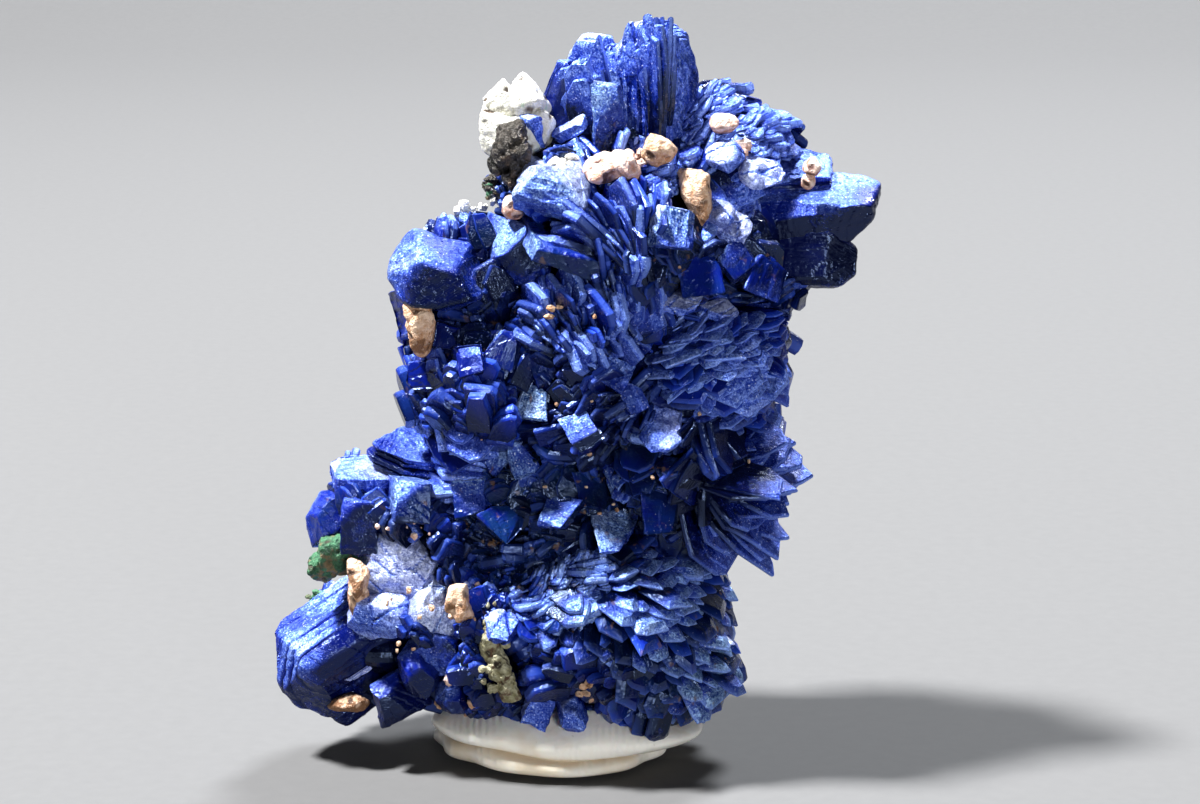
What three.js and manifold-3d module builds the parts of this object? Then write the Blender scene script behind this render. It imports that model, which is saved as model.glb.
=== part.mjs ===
// An azurite specimen: one intergrown mass of blue tabular crystals, with grains of other minerals
// seated between them, standing in a folded lump of white putty.
// Units are millimetres, +Z is up, and the specimen's front faces -Y.

import * as THREE from "three";
import { mergeVertices } from "three/addons/utils/BufferGeometryUtils.js";
import Module from "manifold-3d";

const wasm = await Module();
wasm.setup();

// ---------------------------------------------------------------- driving sizes

const FINEST = 0.2; // steps and slivers smaller than this are smoothed away where crystals join
const SEAT_GAP = 0.3; // room left all round a grain, or the putty, where the azurite holds it
const THICK = 3; // crystals thicker than this have bevelled edges
const CHISEL = 0.5; // the width of that bevel
const BURIED = 0.1; // a blade whose seat is this share deep in a neighbouring lobe isn't seen
const GOLDEN_ANGLE = Math.PI * (3 - Math.sqrt(5)); // spreads seats evenly over a ball
const BLADE = { width: 3.8, thickness: 1.1, length: 5.6, seat: 0.8 }; // a usual crystal of the rosettes
const PUTTY = { centre: [-1.0, -0.6, 0], size: [9.0, 7.0, 4.3] }; // half width, half depth, height

// The swellings of the mass. Each is a rosette: its blades fan out from `root`, a point inside it.
// `grain` is the direction that its blades share, as the leaves of a book share the spine's; a
// rosette with none has its blades set round its own axis, `axis`, as the petals of a dahlia are.
const LOBES = [
  { name: "shoulder", at: [11.2, 1.5, 39.8], size: [5.2, 5.6, 4.4], blades: 22, grain: [0.6, 0.3, 0.75] },
  { name: "crown", at: [3.4, 1.8, 42.4], size: [4.8, 4.8, 5.0], blades: 10, grain: [0, 1, 0.2] },
  { name: "neck", at: [-1.8, 0.6, 39.5], size: [3.8, 5.6, 4.2], blades: 10, grain: [0.2, 0.9, 0.4] },
  { name: "fan", at: [4.6, -0.6, 35.2], size: [6.4, 7.4, 5.6], blades: 24, grain: [0.1, 0.95, 0.3] },
  { name: "wedge_root", at: [11.6, 0.4, 34.4], size: [4.4, 5.8, 4.6], blades: 14, axis: [1, -0.4, 0] },
  { name: "upper_left", at: [-6.6, 0.4, 32.6], size: [4.0, 5.4, 4.0], blades: 12, axis: [-0.7, -0.7, 0] },
  { name: "lavender", at: [1.2, -0.8, 30.6], size: [5.4, 7.2, 4.6], blades: 20, grain: [0.75, 0.2, -0.6] },
  { name: "right_sheaf", at: [9.4, 0, 27.6], size: [5.0, 7.2, 4.6], blades: 22, grain: [0.9, 0.1, 0.35] },
  { name: "shingles", at: [-6.0, 0, 25.8], size: [5.2, 6.8, 5.4], blades: 22, axis: [-0.3, -0.2, -1] },
  { name: "heart", at: [1.4, -0.4, 25.0], size: [5.4, 7.4, 5.2], blades: 20, axis: [0.3, -1, 0.2] },
  { name: "open_book", at: [8.0, -0.4, 20.8], size: [5.8, 7.6, 6.4], blades: 20, grain: [0.1, 1, 0.1] },
  { name: "hollow", at: [-2.0, 0.8, 17.6], size: [7.8, 7.0, 6.4], blades: 26, axis: [0.2, -1, 0.4] },
  { name: "dahlia", at: [2.2, -0.6, 10.0], size: [8.2, 8.4, 6.8], blades: 36, axis: [0.5, -1, -0.2] },
  { name: "left_arm", at: [-13.0, -0.6, 17.6], size: [3.4, 4.8, 3.2], blades: 8, axis: [-0.8, -0.4, 0.3] },
  { name: "left_elbow", at: [-9.8, 0, 15.6], size: [4.2, 5.6, 4.2], blades: 10, axis: [-0.6, -0.8, 0] },
  { name: "shell_root", at: [-10.6, -1.6, 11.4], size: [4.6, 5.6, 4.6], blades: 8, axis: [-0.4, -0.9, 0.4] },
  { name: "foot", at: [-12.6, 0.2, 8.4], size: [5.4, 5.8, 3.9], blades: 10, axis: [-1, 0, 0] },
  { name: "toe", at: [-5.6, -1.0, 8.4], size: [5.0, 6.8, 5.0], blades: 14, axis: [-0.2, -1, -0.3] },
  { name: "back_low", at: [-3.6, 4.0, 11.4], size: [8.4, 6.0, 6.6], blades: 20, axis: [-0.1, 1, 0.2] },
  { name: "back_middle", at: [3.8, 4.0, 20.4], size: [7.4, 6.2, 7.4], blades: 20, axis: [0.3, 1, 0] },
  { name: "back_waist", at: [-3.2, 4.0, 26.6], size: [6.8, 6.0, 6.4], blades: 18, grain: [0.8, 0.2, 0.5] },
  { name: "back_high", at: [4.8, 4.0, 35.0], size: [7.8, 6.2, 6.4], blades: 22, axis: [0.1, 1, 0.3] },
];

// The crystals large enough to stand out from the rosettes. `out` is the way a crystal grows and
// `face` the way its broad face looks. `size` is width, thickness and length.
const CRYSTALS = [
  // the peak of upright parallel plates, and the frosted peak beside it
  { at: [3.4, 0.4, 41.6], out: [-0.05, 0, 1], face: [1, -0.25, 0], size: [5.4, 1.3, 6.8] },
  { at: [4.5, 0.2, 41.6], out: [0, 0, 1], face: [1, -0.2, 0], size: [6.2, 1.3, 8.0] },
  { at: [5.4, 0.2, 41.4], out: [0.02, 0, 1], face: [1, -0.2, 0], size: [6.4, 1.4, 8.2] },
  { at: [6.5, 0.4, 41.2], out: [0.08, 0, 1], face: [1, -0.25, 0], size: [6.0, 1.3, 8.0] },
  { at: [7.4, 0.6, 41.0], out: [0.12, 0, 1], face: [1, -0.3, 0], size: [5.0, 1.2, 6.6] },
  { at: [0.5, 0.6, 41.6], out: [0.1, 0, 1], face: [-0.25, -1, 0.15], size: [4.8, 4.2, 7.0] },
  { at: [1.9, 1.6, 42.4], out: [0.05, 0, 1], face: [-0.1, -1, 0.1], size: [3.4, 3.2, 6.6] },
  { at: [-2.6, -1.8, 41.8], out: [-0.3, -0.6, 0.8], face: [-0.3, -0.8, -0.5], size: [1.8, 1.3, 2.4] },
  // the block that makes the ledge, and the plates at the neck
  { at: [-0.8, -0.6, 38.9], out: [-0.1, -1, 0.05], face: [0, 0.1, 1], size: [5.2, 3.8, 7.0] },
  { at: [-1.4, -2.0, 36.2], out: [0.2, -1, -0.2], face: [0.3, 0.2, 1], size: [4.8, 1.6, 6.6] },
  // the right shoulder's wedge and the crystal below it
  { at: [10.4, 0.2, 37.2], out: [1, -0.12, 0.12], face: [-0.05, -0.35, 1], size: [5.4, 3.6, 9.2] },
  { at: [12.0, -0.6, 34.0], out: [1, -0.15, -0.1], face: [0.15, -1, 0.15], size: [4.2, 3.4, 6.2] },
  { at: [11.0, 1.2, 30.8], out: [1, -0.2, 0.1], face: [0.1, -0.3, 1], size: [4.4, 1.6, 4.2] },
  // the upper left block, with its neighbour
  { at: [-8.2, 0.6, 33.8], out: [-0.15, -1, 0.1], face: [0, 0.1, 1], size: [6.4, 4.6, 6.6] },
  { at: [-4.4, 0.4, 35.0], out: [0.25, -1, 0.05], face: [0.25, 0.1, 1], size: [3.8, 4.0, 6.2] },
  { at: [-9.2, 0.2, 30.4], out: [-1, -0.5, -0.1], face: [-0.3, -1, 0.2], size: [3.4, 2.2, 2.8] },
  // the left arm: a frosted slab over a dark cube, with rounded crystals round it
  { at: [-12.2, -0.8, 20.3], out: [-1, -0.2, 0.06], face: [0.1, -0.15, 1], size: [4.6, 1.6, 4.4] },
  { at: [-13.5, -1.4, 17.6], out: [-0.1, -1, 0], face: [0, 0, 1], size: [2.6, 3.6, 4.2] },
  { at: [-15.4, -0.8, 17.6], out: [-0.75, -0.6, 0], face: [0.1, 0, 1], size: [3.4, 3.4, 2.9] },
  { at: [-11.3, -1.4, 18.6], out: [0.2, -1, 0.1], face: [0.1, 0.1, 1], size: [2.6, 2.8, 4.4] },
  { at: [-11.3, -2.4, 16.2], out: [0.1, -1, 0.2], face: [0, 0.2, 1], size: [2.4, 1.6, 3.0] },
  // the pale cracked shell below the arm
  { at: [-11.9, -3.6, 13.4], out: [-0.2, -1, 0.3], face: [-0.3, 0.2, 1], size: [4.8, 3.4, 4.6] },
  { at: [-9.4, -3.8, 11.8], out: [0.1, -1, 0.1], face: [0.3, 0.1, 1], size: [3.8, 4.0, 4.6] },
  // the foot: one thick dark block lying on its side, striated along its length
  { at: [-10.6, -0.6, 7.3], out: [-1, -0.06, 0.02], face: [-0.15, -0.72, 0.7], size: [7.4, 6.6, 9.4] },
  { at: [-10.8, -3.4, 5.2], out: [-0.7, -0.5, -0.5], face: [0.3, -1, 0.3], size: [3.2, 2.2, 4.0] },
  // small crystals along the lower front
  { at: [-10.0, -3.0, 7.4], out: [0, -1, -0.1], face: [-0.5, 0, 1], size: [2.6, 3.4, 4.2] },
  { at: [-7.9, -3.0, 5.6], out: [0, -1, -0.2], face: [0.2, -0.2, 1], size: [2.4, 1.8, 3.8] },
  { at: [-2.2, -4.0, 5.6], out: [0, -1, -0.2], face: [0.4, 0, 1], size: [2.0, 2.4, 4.2] },
  { at: [-0.4, -4.2, 4.8], out: [0.1, -1, -0.2], face: [-0.3, 0, 1], size: [1.9, 2.2, 4.0] },
  // plates that stand out of the middle
  { at: [6.0, -4.8, 23.0], out: [0.2, -0.4, 1], face: [0.2, -1, 0.1], size: [3.0, 1.2, 2.6] },
  { at: [-9.0, -0.6, 21.8], out: [-1, -0.3, 0.1], face: [0.1, -0.2, 1], size: [4.2, 2.2, 5.0] },
  { at: [-7.6, -2.6, 19.4], out: [-0.3, -1, 0], face: [0.1, 0.1, 1], size: [4.6, 1.5, 4.4] },
  { at: [2.2, -4.6, 17.0], out: [0.3, -1, 0], face: [0.5, 0, 1], size: [3.6, 1.2, 4.6] },
  { at: [8.4, -2.0, 18.0], out: [0.75, -0.3, -0.75], face: [0.7, 0, 0.7], size: [6.4, 1.2, 6.8] },
  { at: [9.2, -2.0, 19.6], out: [0.95, -0.3, -0.35], face: [0.4, 0, 1], size: [6.4, 1.2, 6.2] },
  { at: [7.8, -2.0, 17.0], out: [0.5, -0.3, -1], face: [1, 0, 0.4], size: [6.0, 1.2, 6.4] },
  { at: [9.0, -1.6, 22.2], out: [1, -0.3, 0.05], face: [0, 0, 1], size: [6.0, 1.2, 6.0] },
];

// Grains of other minerals. `size` is half width, half depth and half height, `lean` a turn in
// degrees about the line of sight, and `lumps` how uneven the surface is.
const GRAINS = [
  { name: "white_matrix", at: [-3.7, -0.4, 43.4], size: [2.2, 2.4, 2.5], lean: 10, lumps: 0.2, detail: 2 },
  { name: "dark_grain", at: [-4.0, -3.0, 41.0], size: [1.5, 1.5, 1.9], lean: -12, lumps: 0.2, detail: 2 },
  { name: "pink_nugget", at: [2.6, -4.6, 40.6], size: [1.6, 1.3, 1.15], lean: 8, lumps: 0.14, detail: 1 },
  { name: "tan_ledge_grain", at: [5.6, -4.4, 41.6], size: [1.0, 0.9, 0.8], lean: 25, lumps: 0.16, detail: 1 },
  { name: "tall_tan_grain", at: [8.2, -5.2, 38.9], size: [0.95, 1.0, 1.6], lean: -14, lumps: 0.12, detail: 1 },
  { name: "pink_shoulder_grain", at: [9.9, -3.0, 43.2], size: [0.75, 0.6, 0.5], lean: 10, lumps: 0.1, detail: 1 },
  { name: "pink_edge_grain", at: [15.4, -2.8, 40.0], size: [0.6, 0.7, 0.85], lean: 20, lumps: 0.14, detail: 1 },
  { name: "small_pink_grain", at: [-3.8, -3.6, 37.8], size: [0.65, 0.7, 0.65], lean: 0, lumps: 0.14, detail: 1 },
  { name: "leaning_tan_grain", at: [-9.9, -4.6, 30.6], size: [0.95, 1.0, 1.9], lean: 16, lumps: 0.12, detail: 1 },
  { name: "salmon_grain", at: [-14.2, -5.0, 12.8], size: [0.85, 0.9, 1.65], lean: 4, lumps: 0.12, detail: 1 },
  { name: "orange_grain", at: [-7.4, -7.0, 12.2], size: [0.7, 0.8, 1.0], lean: 15, lumps: 0.14, detail: 1 },
  { name: "malachite_patch", at: [-16.0, -2.6, 14.2], size: [1.2, 1.4, 1.6], lean: 35, lumps: 0.18, detail: 1 },
  { name: "olive_strip", at: [-4.8, -7.4, 8.0], size: [0.7, 0.9, 2.7], lean: -24, lumps: 0.14, detail: 1 },
  { name: "brown_foot_grain", at: [-14.9, -3.6, 4.4], size: [1.05, 0.8, 0.45], lean: 0, lumps: 0.14, detail: 1 },
];

const FINISH = {
  azurite: { color: 0x1c2f9e, roughness: 0.25 },
  white_matrix: { color: 0xe9e6da, roughness: 0.8 },
  dark_grain: { color: 0x33312f, roughness: 0.4 },
  pink_grain: { color: 0xe6bfa8, roughness: 0.75 },
  tan_grain: { color: 0xd79a63, roughness: 0.75 },
  malachite: { color: 0x2c7a4c, roughness: 0.5 },
  olive: { color: 0x84805a, roughness: 0.8 },
  putty: { color: 0xebe4d6, roughness: 0.6 },
};

const GRAIN_FINISH = {
  white_matrix: "white_matrix",
  dark_grain: "dark_grain",
  pink_nugget: "pink_grain",
  tan_ledge_grain: "tan_grain",
  tall_tan_grain: "tan_grain",
  pink_shoulder_grain: "pink_grain",
  pink_edge_grain: "pink_grain",
  small_pink_grain: "pink_grain",
  leaning_tan_grain: "tan_grain",
  salmon_grain: "tan_grain",
  orange_grain: "tan_grain",
  malachite_patch: "malachite",
  olive_strip: "olive",
  brown_foot_grain: "tan_grain",
};

// ---------------------------------------------------------------- helpers

const vector = (xyz) => new THREE.Vector3(...xyz);

// The same number from 0 to 1 each time for the same n and seed.
function chance(n, seed) {
  const wave = Math.sin(n * 12.9898 + seed * 78.233) * 43758.5453;
  return wave - Math.floor(wave);
}

// A closed geometry as a manifold solid. Only its corner positions matter.
function solid(geometry) {
  const bare = geometry.index ? geometry.toNonIndexed() : geometry.clone();
  bare.deleteAttribute("normal");
  bare.deleteAttribute("uv");
  const merged = mergeVertices(bare, 1e-4);
  const vertProperties = new Float32Array(merged.attributes.position.array);
  const triVerts = new Uint32Array(merged.index.array);
  return new wasm.Manifold(new wasm.Mesh({ numProp: 3, vertProperties, triVerts }));
}

// A manifold solid as a three.js mesh.
function mesh(body, name, finish) {
  const { vertProperties, triVerts } = body.getMesh();
  const geometry = new THREE.BufferGeometry();
  geometry.setAttribute("position", new THREE.BufferAttribute(vertProperties, 3));
  geometry.setIndex(new THREE.BufferAttribute(triVerts, 1));
  geometry.computeVertexNormals();
  const material = new THREE.MeshStandardMaterial({ ...FINISH[finish], metalness: 0 });
  const made = new THREE.Mesh(geometry, material);
  made.name = name;
  return made;
}

// The union of many solids, joined two by two so that no join is between very unequal meshes.
function joined(bodies) {
  if (bodies.length === 1) return bodies[0];
  const half = Math.ceil(bodies.length / 2);
  return joined(bodies.slice(0, half)).add(joined(bodies.slice(half)));
}

// The one body that encloses the others: loose chips and sealed hollows are left out.
function outerBody(body) {
  const bodies = body.asOriginal().simplify(FINEST).decompose();
  return bodies.reduce((largest, other) => (other.volume() > largest.volume() ? other : largest));
}

// A ball pulled out to half sizes `size`, with `lumps` of unevenness that slide with `seed`.
function lump(size, lumps, seed, detail) {
  const geometry = new THREE.IcosahedronGeometry(1, detail);
  const place = geometry.attributes.position;
  const p = new THREE.Vector3();
  for (let i = 0; i < place.count; i += 1) {
    p.fromBufferAttribute(place, i).normalize();
    const wave = Math.sin(3.1 * p.x + seed) + Math.sin(4.3 * p.y + 2 * seed) + Math.sin(3.7 * p.z + 3 * seed);
    p.multiplyScalar(1 + (lumps * wave) / 3);
    place.setXYZ(i, p.x * size[0], p.y * size[1], p.z * size[2]);
  }
  return geometry;
}

// The turn and place that put a crystal's width along X, its growth along Y and its face along Z.
function seat(at, out, face) {
  const growth = out.clone().normalize();
  const width = new THREE.Vector3().crossVectors(growth, face).normalize();
  const normal = new THREE.Vector3().crossVectors(width, growth);
  return new THREE.Matrix4().makeBasis(width, growth, normal).setPosition(at);
}

// A tabular crystal: a six-sided outline with a blunt point, as thick as a slab and bevelled to a
// chisel edge. `skew` moves the point to one side.
function tabular([width, thickness, length], skew, bevel) {
  const half = width / 2 - bevel;
  const tip = length - bevel;
  const outline = new THREE.Shape();
  outline.moveTo(-half, 0);
  outline.lineTo(half, 0);
  outline.lineTo(half, tip * 0.68);
  outline.lineTo(half * (0.35 + skew), tip);
  outline.lineTo(half * (-0.45 + skew), tip * 0.97);
  outline.lineTo(-half, tip * 0.62);
  const flat = thickness - 2 * bevel;
  const geometry = new THREE.ExtrudeGeometry(outline, {
    depth: flat,
    bevelEnabled: bevel > 0,
    bevelSize: bevel,
    bevelThickness: bevel,
    bevelSegments: 1,
  });
  return geometry.translate(0, 0, -flat / 2);
}

// How far inside a lobe a point is: 1 at the centre, 0 on the surface, negative outside.
function depthIn(lobe, p) {
  const reach = p.clone().sub(vector(lobe.at)).divide(vector(lobe.size));
  return 1 - reach.length();
}

// ---------------------------------------------------------------- the azurite

// The blades of one lobe. Seats are spread over the lobe by the golden angle, and a seat that a
// neighbouring lobe covers is left out.
function rosette(lobe, number) {
  const centre = vector(lobe.at);
  const size = vector(lobe.size);
  const blades = [];
  for (let i = 0; i < lobe.blades; i += 1) {
    const up = 1 - (2 * i + 1) / lobe.blades;
    const ring = Math.sqrt(1 - up * up);
    const turn = i * GOLDEN_ANGLE + number;
    const way = new THREE.Vector3(ring * Math.cos(turn), ring * Math.sin(turn), up);
    const place = way.clone().multiply(size).add(centre);
    const covered = LOBES.some((other) => other !== lobe && depthIn(other, place) > BURIED);
    if (covered || place.z < PUTTY.size[2]) continue;
    const spine = lobe.grain ? vector(lobe.grain) : vector(lobe.axis).cross(way);
    const face = new THREE.Vector3().crossVectors(way, spine);
    const grown = 0.8 + 0.4 * chance(i, number);
    const length = BLADE.length * grown;
    const root = place.clone().addScaledVector(way, -length * BLADE.seat);
    const shape = tabular([BLADE.width * grown, BLADE.thickness, length], 0.4 * chance(i, number + 1) - 0.2, 0);
    blades.push(solid(shape.applyMatrix4(seat(root, way, face))));
  }
  return blades;
}

function azurite() {
  const swellings = LOBES.map((lobe, i) => solid(lump(lobe.size, 0.07, i, 1).translate(...lobe.at)));
  const blades = LOBES.flatMap((lobe, i) => rosette(lobe, i));
  const crystals = CRYSTALS.map(({ at, out, face, size }, i) => {
    const bevel = size[1] > THICK ? CHISEL : 0;
    const shape = tabular(size, 0.3 * chance(i, 5) - 0.15, bevel);
    return solid(shape.applyMatrix4(seat(vector(at), vector(out), vector(face))));
  });
  return outerBody(joined([...swellings, ...blades, ...crystals]));
}

// ---------------------------------------------------------------- the grains

// One grain, or with `room` the pocket that it sits in.
function grain({ at, size, lean, lumps, detail }, seed, room) {
  const grown = size.map((half) => half + room);
  const geometry = lump(grown, lumps, seed, detail);
  geometry.rotateY(THREE.MathUtils.degToRad(lean));
  return solid(geometry.translate(...at));
}

// ---------------------------------------------------------------- the putty

// A pressed lump of putty: flat underneath, swelling just above the table, pinched in at a fold
// and then rising to the rim that grips the crystals. With `room` it is that much larger.
function putty(room) {
  const [wide, deep, high] = PUTTY.size;
  const profile = [
    [0, 0],
    [0.74, 0],
    [0.86, 0.12],
    [0.9, 0.28],
    [0.84, 0.42],
    [0.93, 0.6],
    [1, 0.82],
    [0.92, 1],
    [0, 1],
  ];
  const points = profile.map(([r, z]) => new THREE.Vector2(r, z));
  const geometry = new THREE.LatheGeometry(points, 24).rotateX(Math.PI / 2);
  const place = geometry.attributes.position;
  for (let i = 0; i < place.count; i += 1) {
    const x = place.getX(i);
    const y = place.getY(i);
    const turn = Math.atan2(y, x);
    const bulge = 1 + 0.05 * Math.sin(3 * turn + 0.6) + 0.04 * Math.sin(5 * turn + 2.1);
    place.setX(i, x * bulge * (wide + room));
    place.setY(i, y * bulge * (deep + room));
    place.setZ(i, place.getZ(i) * (high + room));
  }
  return solid(geometry.translate(...PUTTY.centre));
}

// ---------------------------------------------------------------- the assembly

const specimen = new THREE.Group();
const pockets = GRAINS.map((shape, i) => grain(shape, i, SEAT_GAP));
const held = outerBody(azurite().subtract(joined([...pockets, putty(SEAT_GAP)])));
specimen.add(mesh(held, "azurite_cluster", "azurite"));
GRAINS.forEach((shape, i) => {
  // where two grains meet, the one listed first is the one with the hollow in it
  const body = pockets.slice(i + 1).reduce((rest, pocket) => rest.subtract(pocket), grain(shape, i, 0));
  specimen.add(mesh(outerBody(body), shape.name, GRAIN_FINISH[shape.name]));
});
specimen.add(mesh(putty(0), "putty_base", "putty"));

// The origin is under the middle of the specimen's box, on the table.
const box = new THREE.Box3().setFromObject(specimen);
const middle = box.getCenter(new THREE.Vector3());
specimen.position.set(-middle.x, -middle.y, -box.min.z);

export default specimen;
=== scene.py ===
# %% [markdown]
# # An azurite specimen
#
# Azurite grows as flat blue crystals that stand together like the leaves of a book. Many small
# books, all leaning their own way, make one lumpy mass. Grains of pink, tan and white rock sit
# between them, and a lump of white putty holds the specimen up. The solid model gives the sizes
# and places. This lesson makes the surfaces: thousands of crystals worked out as whole arrays,
# and a finish for each mineral.

import bpy
import numpy as np
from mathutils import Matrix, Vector


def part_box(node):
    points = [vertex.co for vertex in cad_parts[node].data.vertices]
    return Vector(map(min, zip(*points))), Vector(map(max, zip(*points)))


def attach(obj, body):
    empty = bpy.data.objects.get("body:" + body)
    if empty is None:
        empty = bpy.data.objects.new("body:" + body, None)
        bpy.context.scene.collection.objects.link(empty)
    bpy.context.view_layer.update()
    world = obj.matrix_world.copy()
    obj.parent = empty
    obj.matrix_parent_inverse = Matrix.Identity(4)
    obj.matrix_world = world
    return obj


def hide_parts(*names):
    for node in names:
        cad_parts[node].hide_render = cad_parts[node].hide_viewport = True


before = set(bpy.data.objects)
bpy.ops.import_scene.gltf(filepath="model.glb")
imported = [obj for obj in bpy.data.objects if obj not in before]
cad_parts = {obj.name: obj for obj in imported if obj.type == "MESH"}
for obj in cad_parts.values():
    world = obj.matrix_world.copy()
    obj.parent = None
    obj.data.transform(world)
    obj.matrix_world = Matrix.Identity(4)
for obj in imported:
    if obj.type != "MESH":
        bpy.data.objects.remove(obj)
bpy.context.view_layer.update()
MM = 0.001  # a millimetre in metres, the unit of everything in Blender
TAU = 2 * np.pi
GOLDEN_ANGLE = np.pi * (3 - np.sqrt(5))
print("solid nodes:", sorted(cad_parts))

# %% [markdown]
# The tables below are in millimetres, as they were written for the solid model, with the front
# towards -Y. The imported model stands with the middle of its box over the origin, so every table
# place is moved by the same small step. The crystal node's box says how large that step is.


# %% From table millimetres to the frame
def node_box(name):
    """Lowest and highest corner of a solid node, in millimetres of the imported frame."""
    low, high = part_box(name)
    return np.array(low) / MM, np.array(high) / MM


TABLE_LEFT, TABLE_FRONT = -20.209, -9.788  # the tables' own least X and least Y
crystal_low = node_box("azurite_cluster")[0]
STEP = np.array([crystal_low[0] - TABLE_LEFT, crystal_low[1] - TABLE_FRONT, 0.0])
print("table to frame, mm:", STEP.round(3))

# %% [markdown]
# ## Camera, floor and light
#
# The camera looks along +Y from a hand's span away and a little from above, as one looks at a
# small specimen on a table. The floor is one curved sheet, so that no line shows behind the
# crystals. A strong lamp high on the left whitens the faces that look up to it. A cooler one
# behind lights the outline, and a weak one low in front keeps the gaps dark but not black.


# %% Camera
EYE_RISE = np.radians(12.0)  # how far above the level the eye is
EYE_DISTANCE = 230.0
SENSOR_WIDTH = 36.0
FIELD_WIDTH = 80.0  # millimetres that the camera's view is wide, at the specimen
look_at = np.array([1.8, 0.0, 24.1]) + STEP
eye = look_at + EYE_DISTANCE * np.array([0.0, -np.cos(EYE_RISE), np.sin(EYE_RISE)])


def aim(thing, place, target):
    """Puts a lamp or camera at place, looking at target, both in millimetres."""
    thing.location = Vector(place) * MM
    thing.rotation_euler = (Vector(target) - Vector(place)).to_track_quat("-Z", "Y").to_euler()
    bpy.context.scene.collection.objects.link(thing)


camera = bpy.data.objects.new("camera", bpy.data.cameras.new("camera"))
camera.data.sensor_width = SENSOR_WIDTH
camera.data.lens = SENSOR_WIDTH * EYE_DISTANCE / FIELD_WIDTH
camera.data.clip_start = 10 * MM
aim(camera, eye, look_at)
bpy.context.scene.camera = camera
bpy.context.scene.view_settings.view_transform = "Standard"
print("lens, mm:", round(camera.data.lens, 1))


# %% Lamps
def lamp(name, place, size, power, tint=(1.0, 1.0, 1.0)):
    """A square lamp at place that looks at the specimen. Sizes in millimetres, power in watts."""
    light = bpy.data.lights.new(name, "AREA")
    light.size = size * MM
    light.energy = power
    light.color = tint
    aim(bpy.data.objects.new(name, light), place, look_at)


lamp("key_lamp", (-380, -60, 820), 120, 36.0)
lamp("back_lamp", (200, 460, 560), 160, 10.0, (0.93, 0.96, 1.0))
lamp("front_lamp", (240, -800, 130), 130, 3.0)
world = bpy.data.worlds.new("studio")
world.use_nodes = True
background = world.node_tree.nodes["Background"]
background.inputs["Color"].default_value = (0.8, 0.83, 0.88, 1)
background.inputs["Strength"].default_value = 0.02
bpy.context.scene.world = world
print("lamps:", [light.name for light in bpy.data.lights])

# %% [markdown]
# ## Writing finishes as sums
#
# A finish is a small graph of nodes. Written one node at a time it is hard to read, so a small
# class wraps a socket and lets plus, minus and times make the Math nodes.


# %% A socket that can be added and multiplied
class Value:
    """One number that changes over the surface."""

    def __init__(self, paint, socket):
        self.paint, self.socket = paint, socket

    def _math(self, operation, *terms):
        return self.paint.node("Math", {"operation": operation}, *terms)

    def __add__(self, other):
        return self._math("ADD", self, other)

    def __sub__(self, other):
        return self._math("SUBTRACT", self, other)

    def __mul__(self, other):
        return self._math("MULTIPLY", self, other)

    def __rsub__(self, other):
        return self._math("SUBTRACT", other, self)

    def __pow__(self, other):
        return self._math("POWER", self, other)

    __radd__, __rmul__ = __add__, __mul__

    def ramp(self, low, high):
        """0 below low, 1 above high, straight between."""
        return self.paint.node("MapRange", {"clamp": True}, self, low, high, 0.0, 1.0)


class Paint:
    """A material with a Principled shader and the means to add nodes to it."""

    def __init__(self, name, **constants):
        self.material = bpy.data.materials.new(name)
        self.material.use_nodes = True
        self.nodes = self.material.node_tree.nodes
        self.links = self.material.node_tree.links
        self.shader = self.nodes["Principled BSDF"]
        for socket, value in constants.items():
            self.shader.inputs[socket.replace("_", " ")].default_value = value

    def node(self, kind, settings, *values, output=0, **named):
        """Adds one node: its settings first, then its sockets by place or by name."""
        made = self.nodes.new("ShaderNode" + kind)
        for key, value in settings.items():
            setattr(made, key, value)
        by_place = list(zip(made.inputs, values, strict=False))
        by_name = [(made.inputs[key.replace("_", " ")], value) for key, value in named.items()]
        for socket, value in by_place + by_name:
            self.feed(socket, value)
        return Value(self, made.outputs[output])

    def feed(self, socket, value):
        """Links a socket to a Value, or sets it to a constant. None leaves it as it is."""
        if isinstance(value, Value):
            self.links.new(value.socket, socket)
        elif value is not None:
            socket.default_value = value

    def place(self):
        """Where a point lies in the object's own coordinates, in metres."""
        return self.node("TexCoord", {}, output=3)

    def attribute(self, name, output=2):
        """A number that the mesh carries on its points, or three of them with output 1."""
        return self.node("Attribute", {"attribute_name": name}, output=output)

    def noise(self, scale, detail=3.0, rough=0.55):
        """Cloudy noise over the whole object: scale counts its clouds in a metre."""
        named = {"Scale": scale, "Detail": detail, "Roughness": rough}
        return self.node("TexNoise", {}, Vector=self.place(), **named)

    def mix(self, share, first, second):
        """A colour between first and second, as far along as share says."""
        first, second = ((*c, 1.0) if isinstance(c, tuple) else c for c in (first, second))
        skipped = [None] * 5  # the node's sockets for mixing numbers and vectors
        return self.node("Mix", {"data_type": "RGBA"}, share, *skipped, first, second, output=2)

    def bump(self, height, distance, strength, under=None):
        """Relief that is `distance` metres high, laid over another relief if one is given."""
        named = {"Strength": strength, "Distance": distance, "Height": height, "Normal": under}
        return self.node("Bump", {}, **named)

    def finish(self, **feeds):
        """Feeds the shader's sockets and hands back the material."""
        for socket, value in feeds.items():
            self.feed(self.shader.inputs[socket.replace("_", " ")], value)
        return self.material


# %% [markdown]
# ## The floor
#
# A level plane would end in a line behind the specimen. A sheet that turns up behind in a wide
# quarter circle has no such line. It could be a profile drawn as a curve and extruded. Here its
# points are worked out from two numbers, one across and one along, as in most later surfaces.

# %% The floor
FLOOR_HALF, FLOOR_BACK = 900.0, 420.0  # half its width, and how far back it is level
FLOOR_BEND, FLOOR_RISE = 260.0, 500.0  # the radius of its bend, and how far it goes on up


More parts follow.
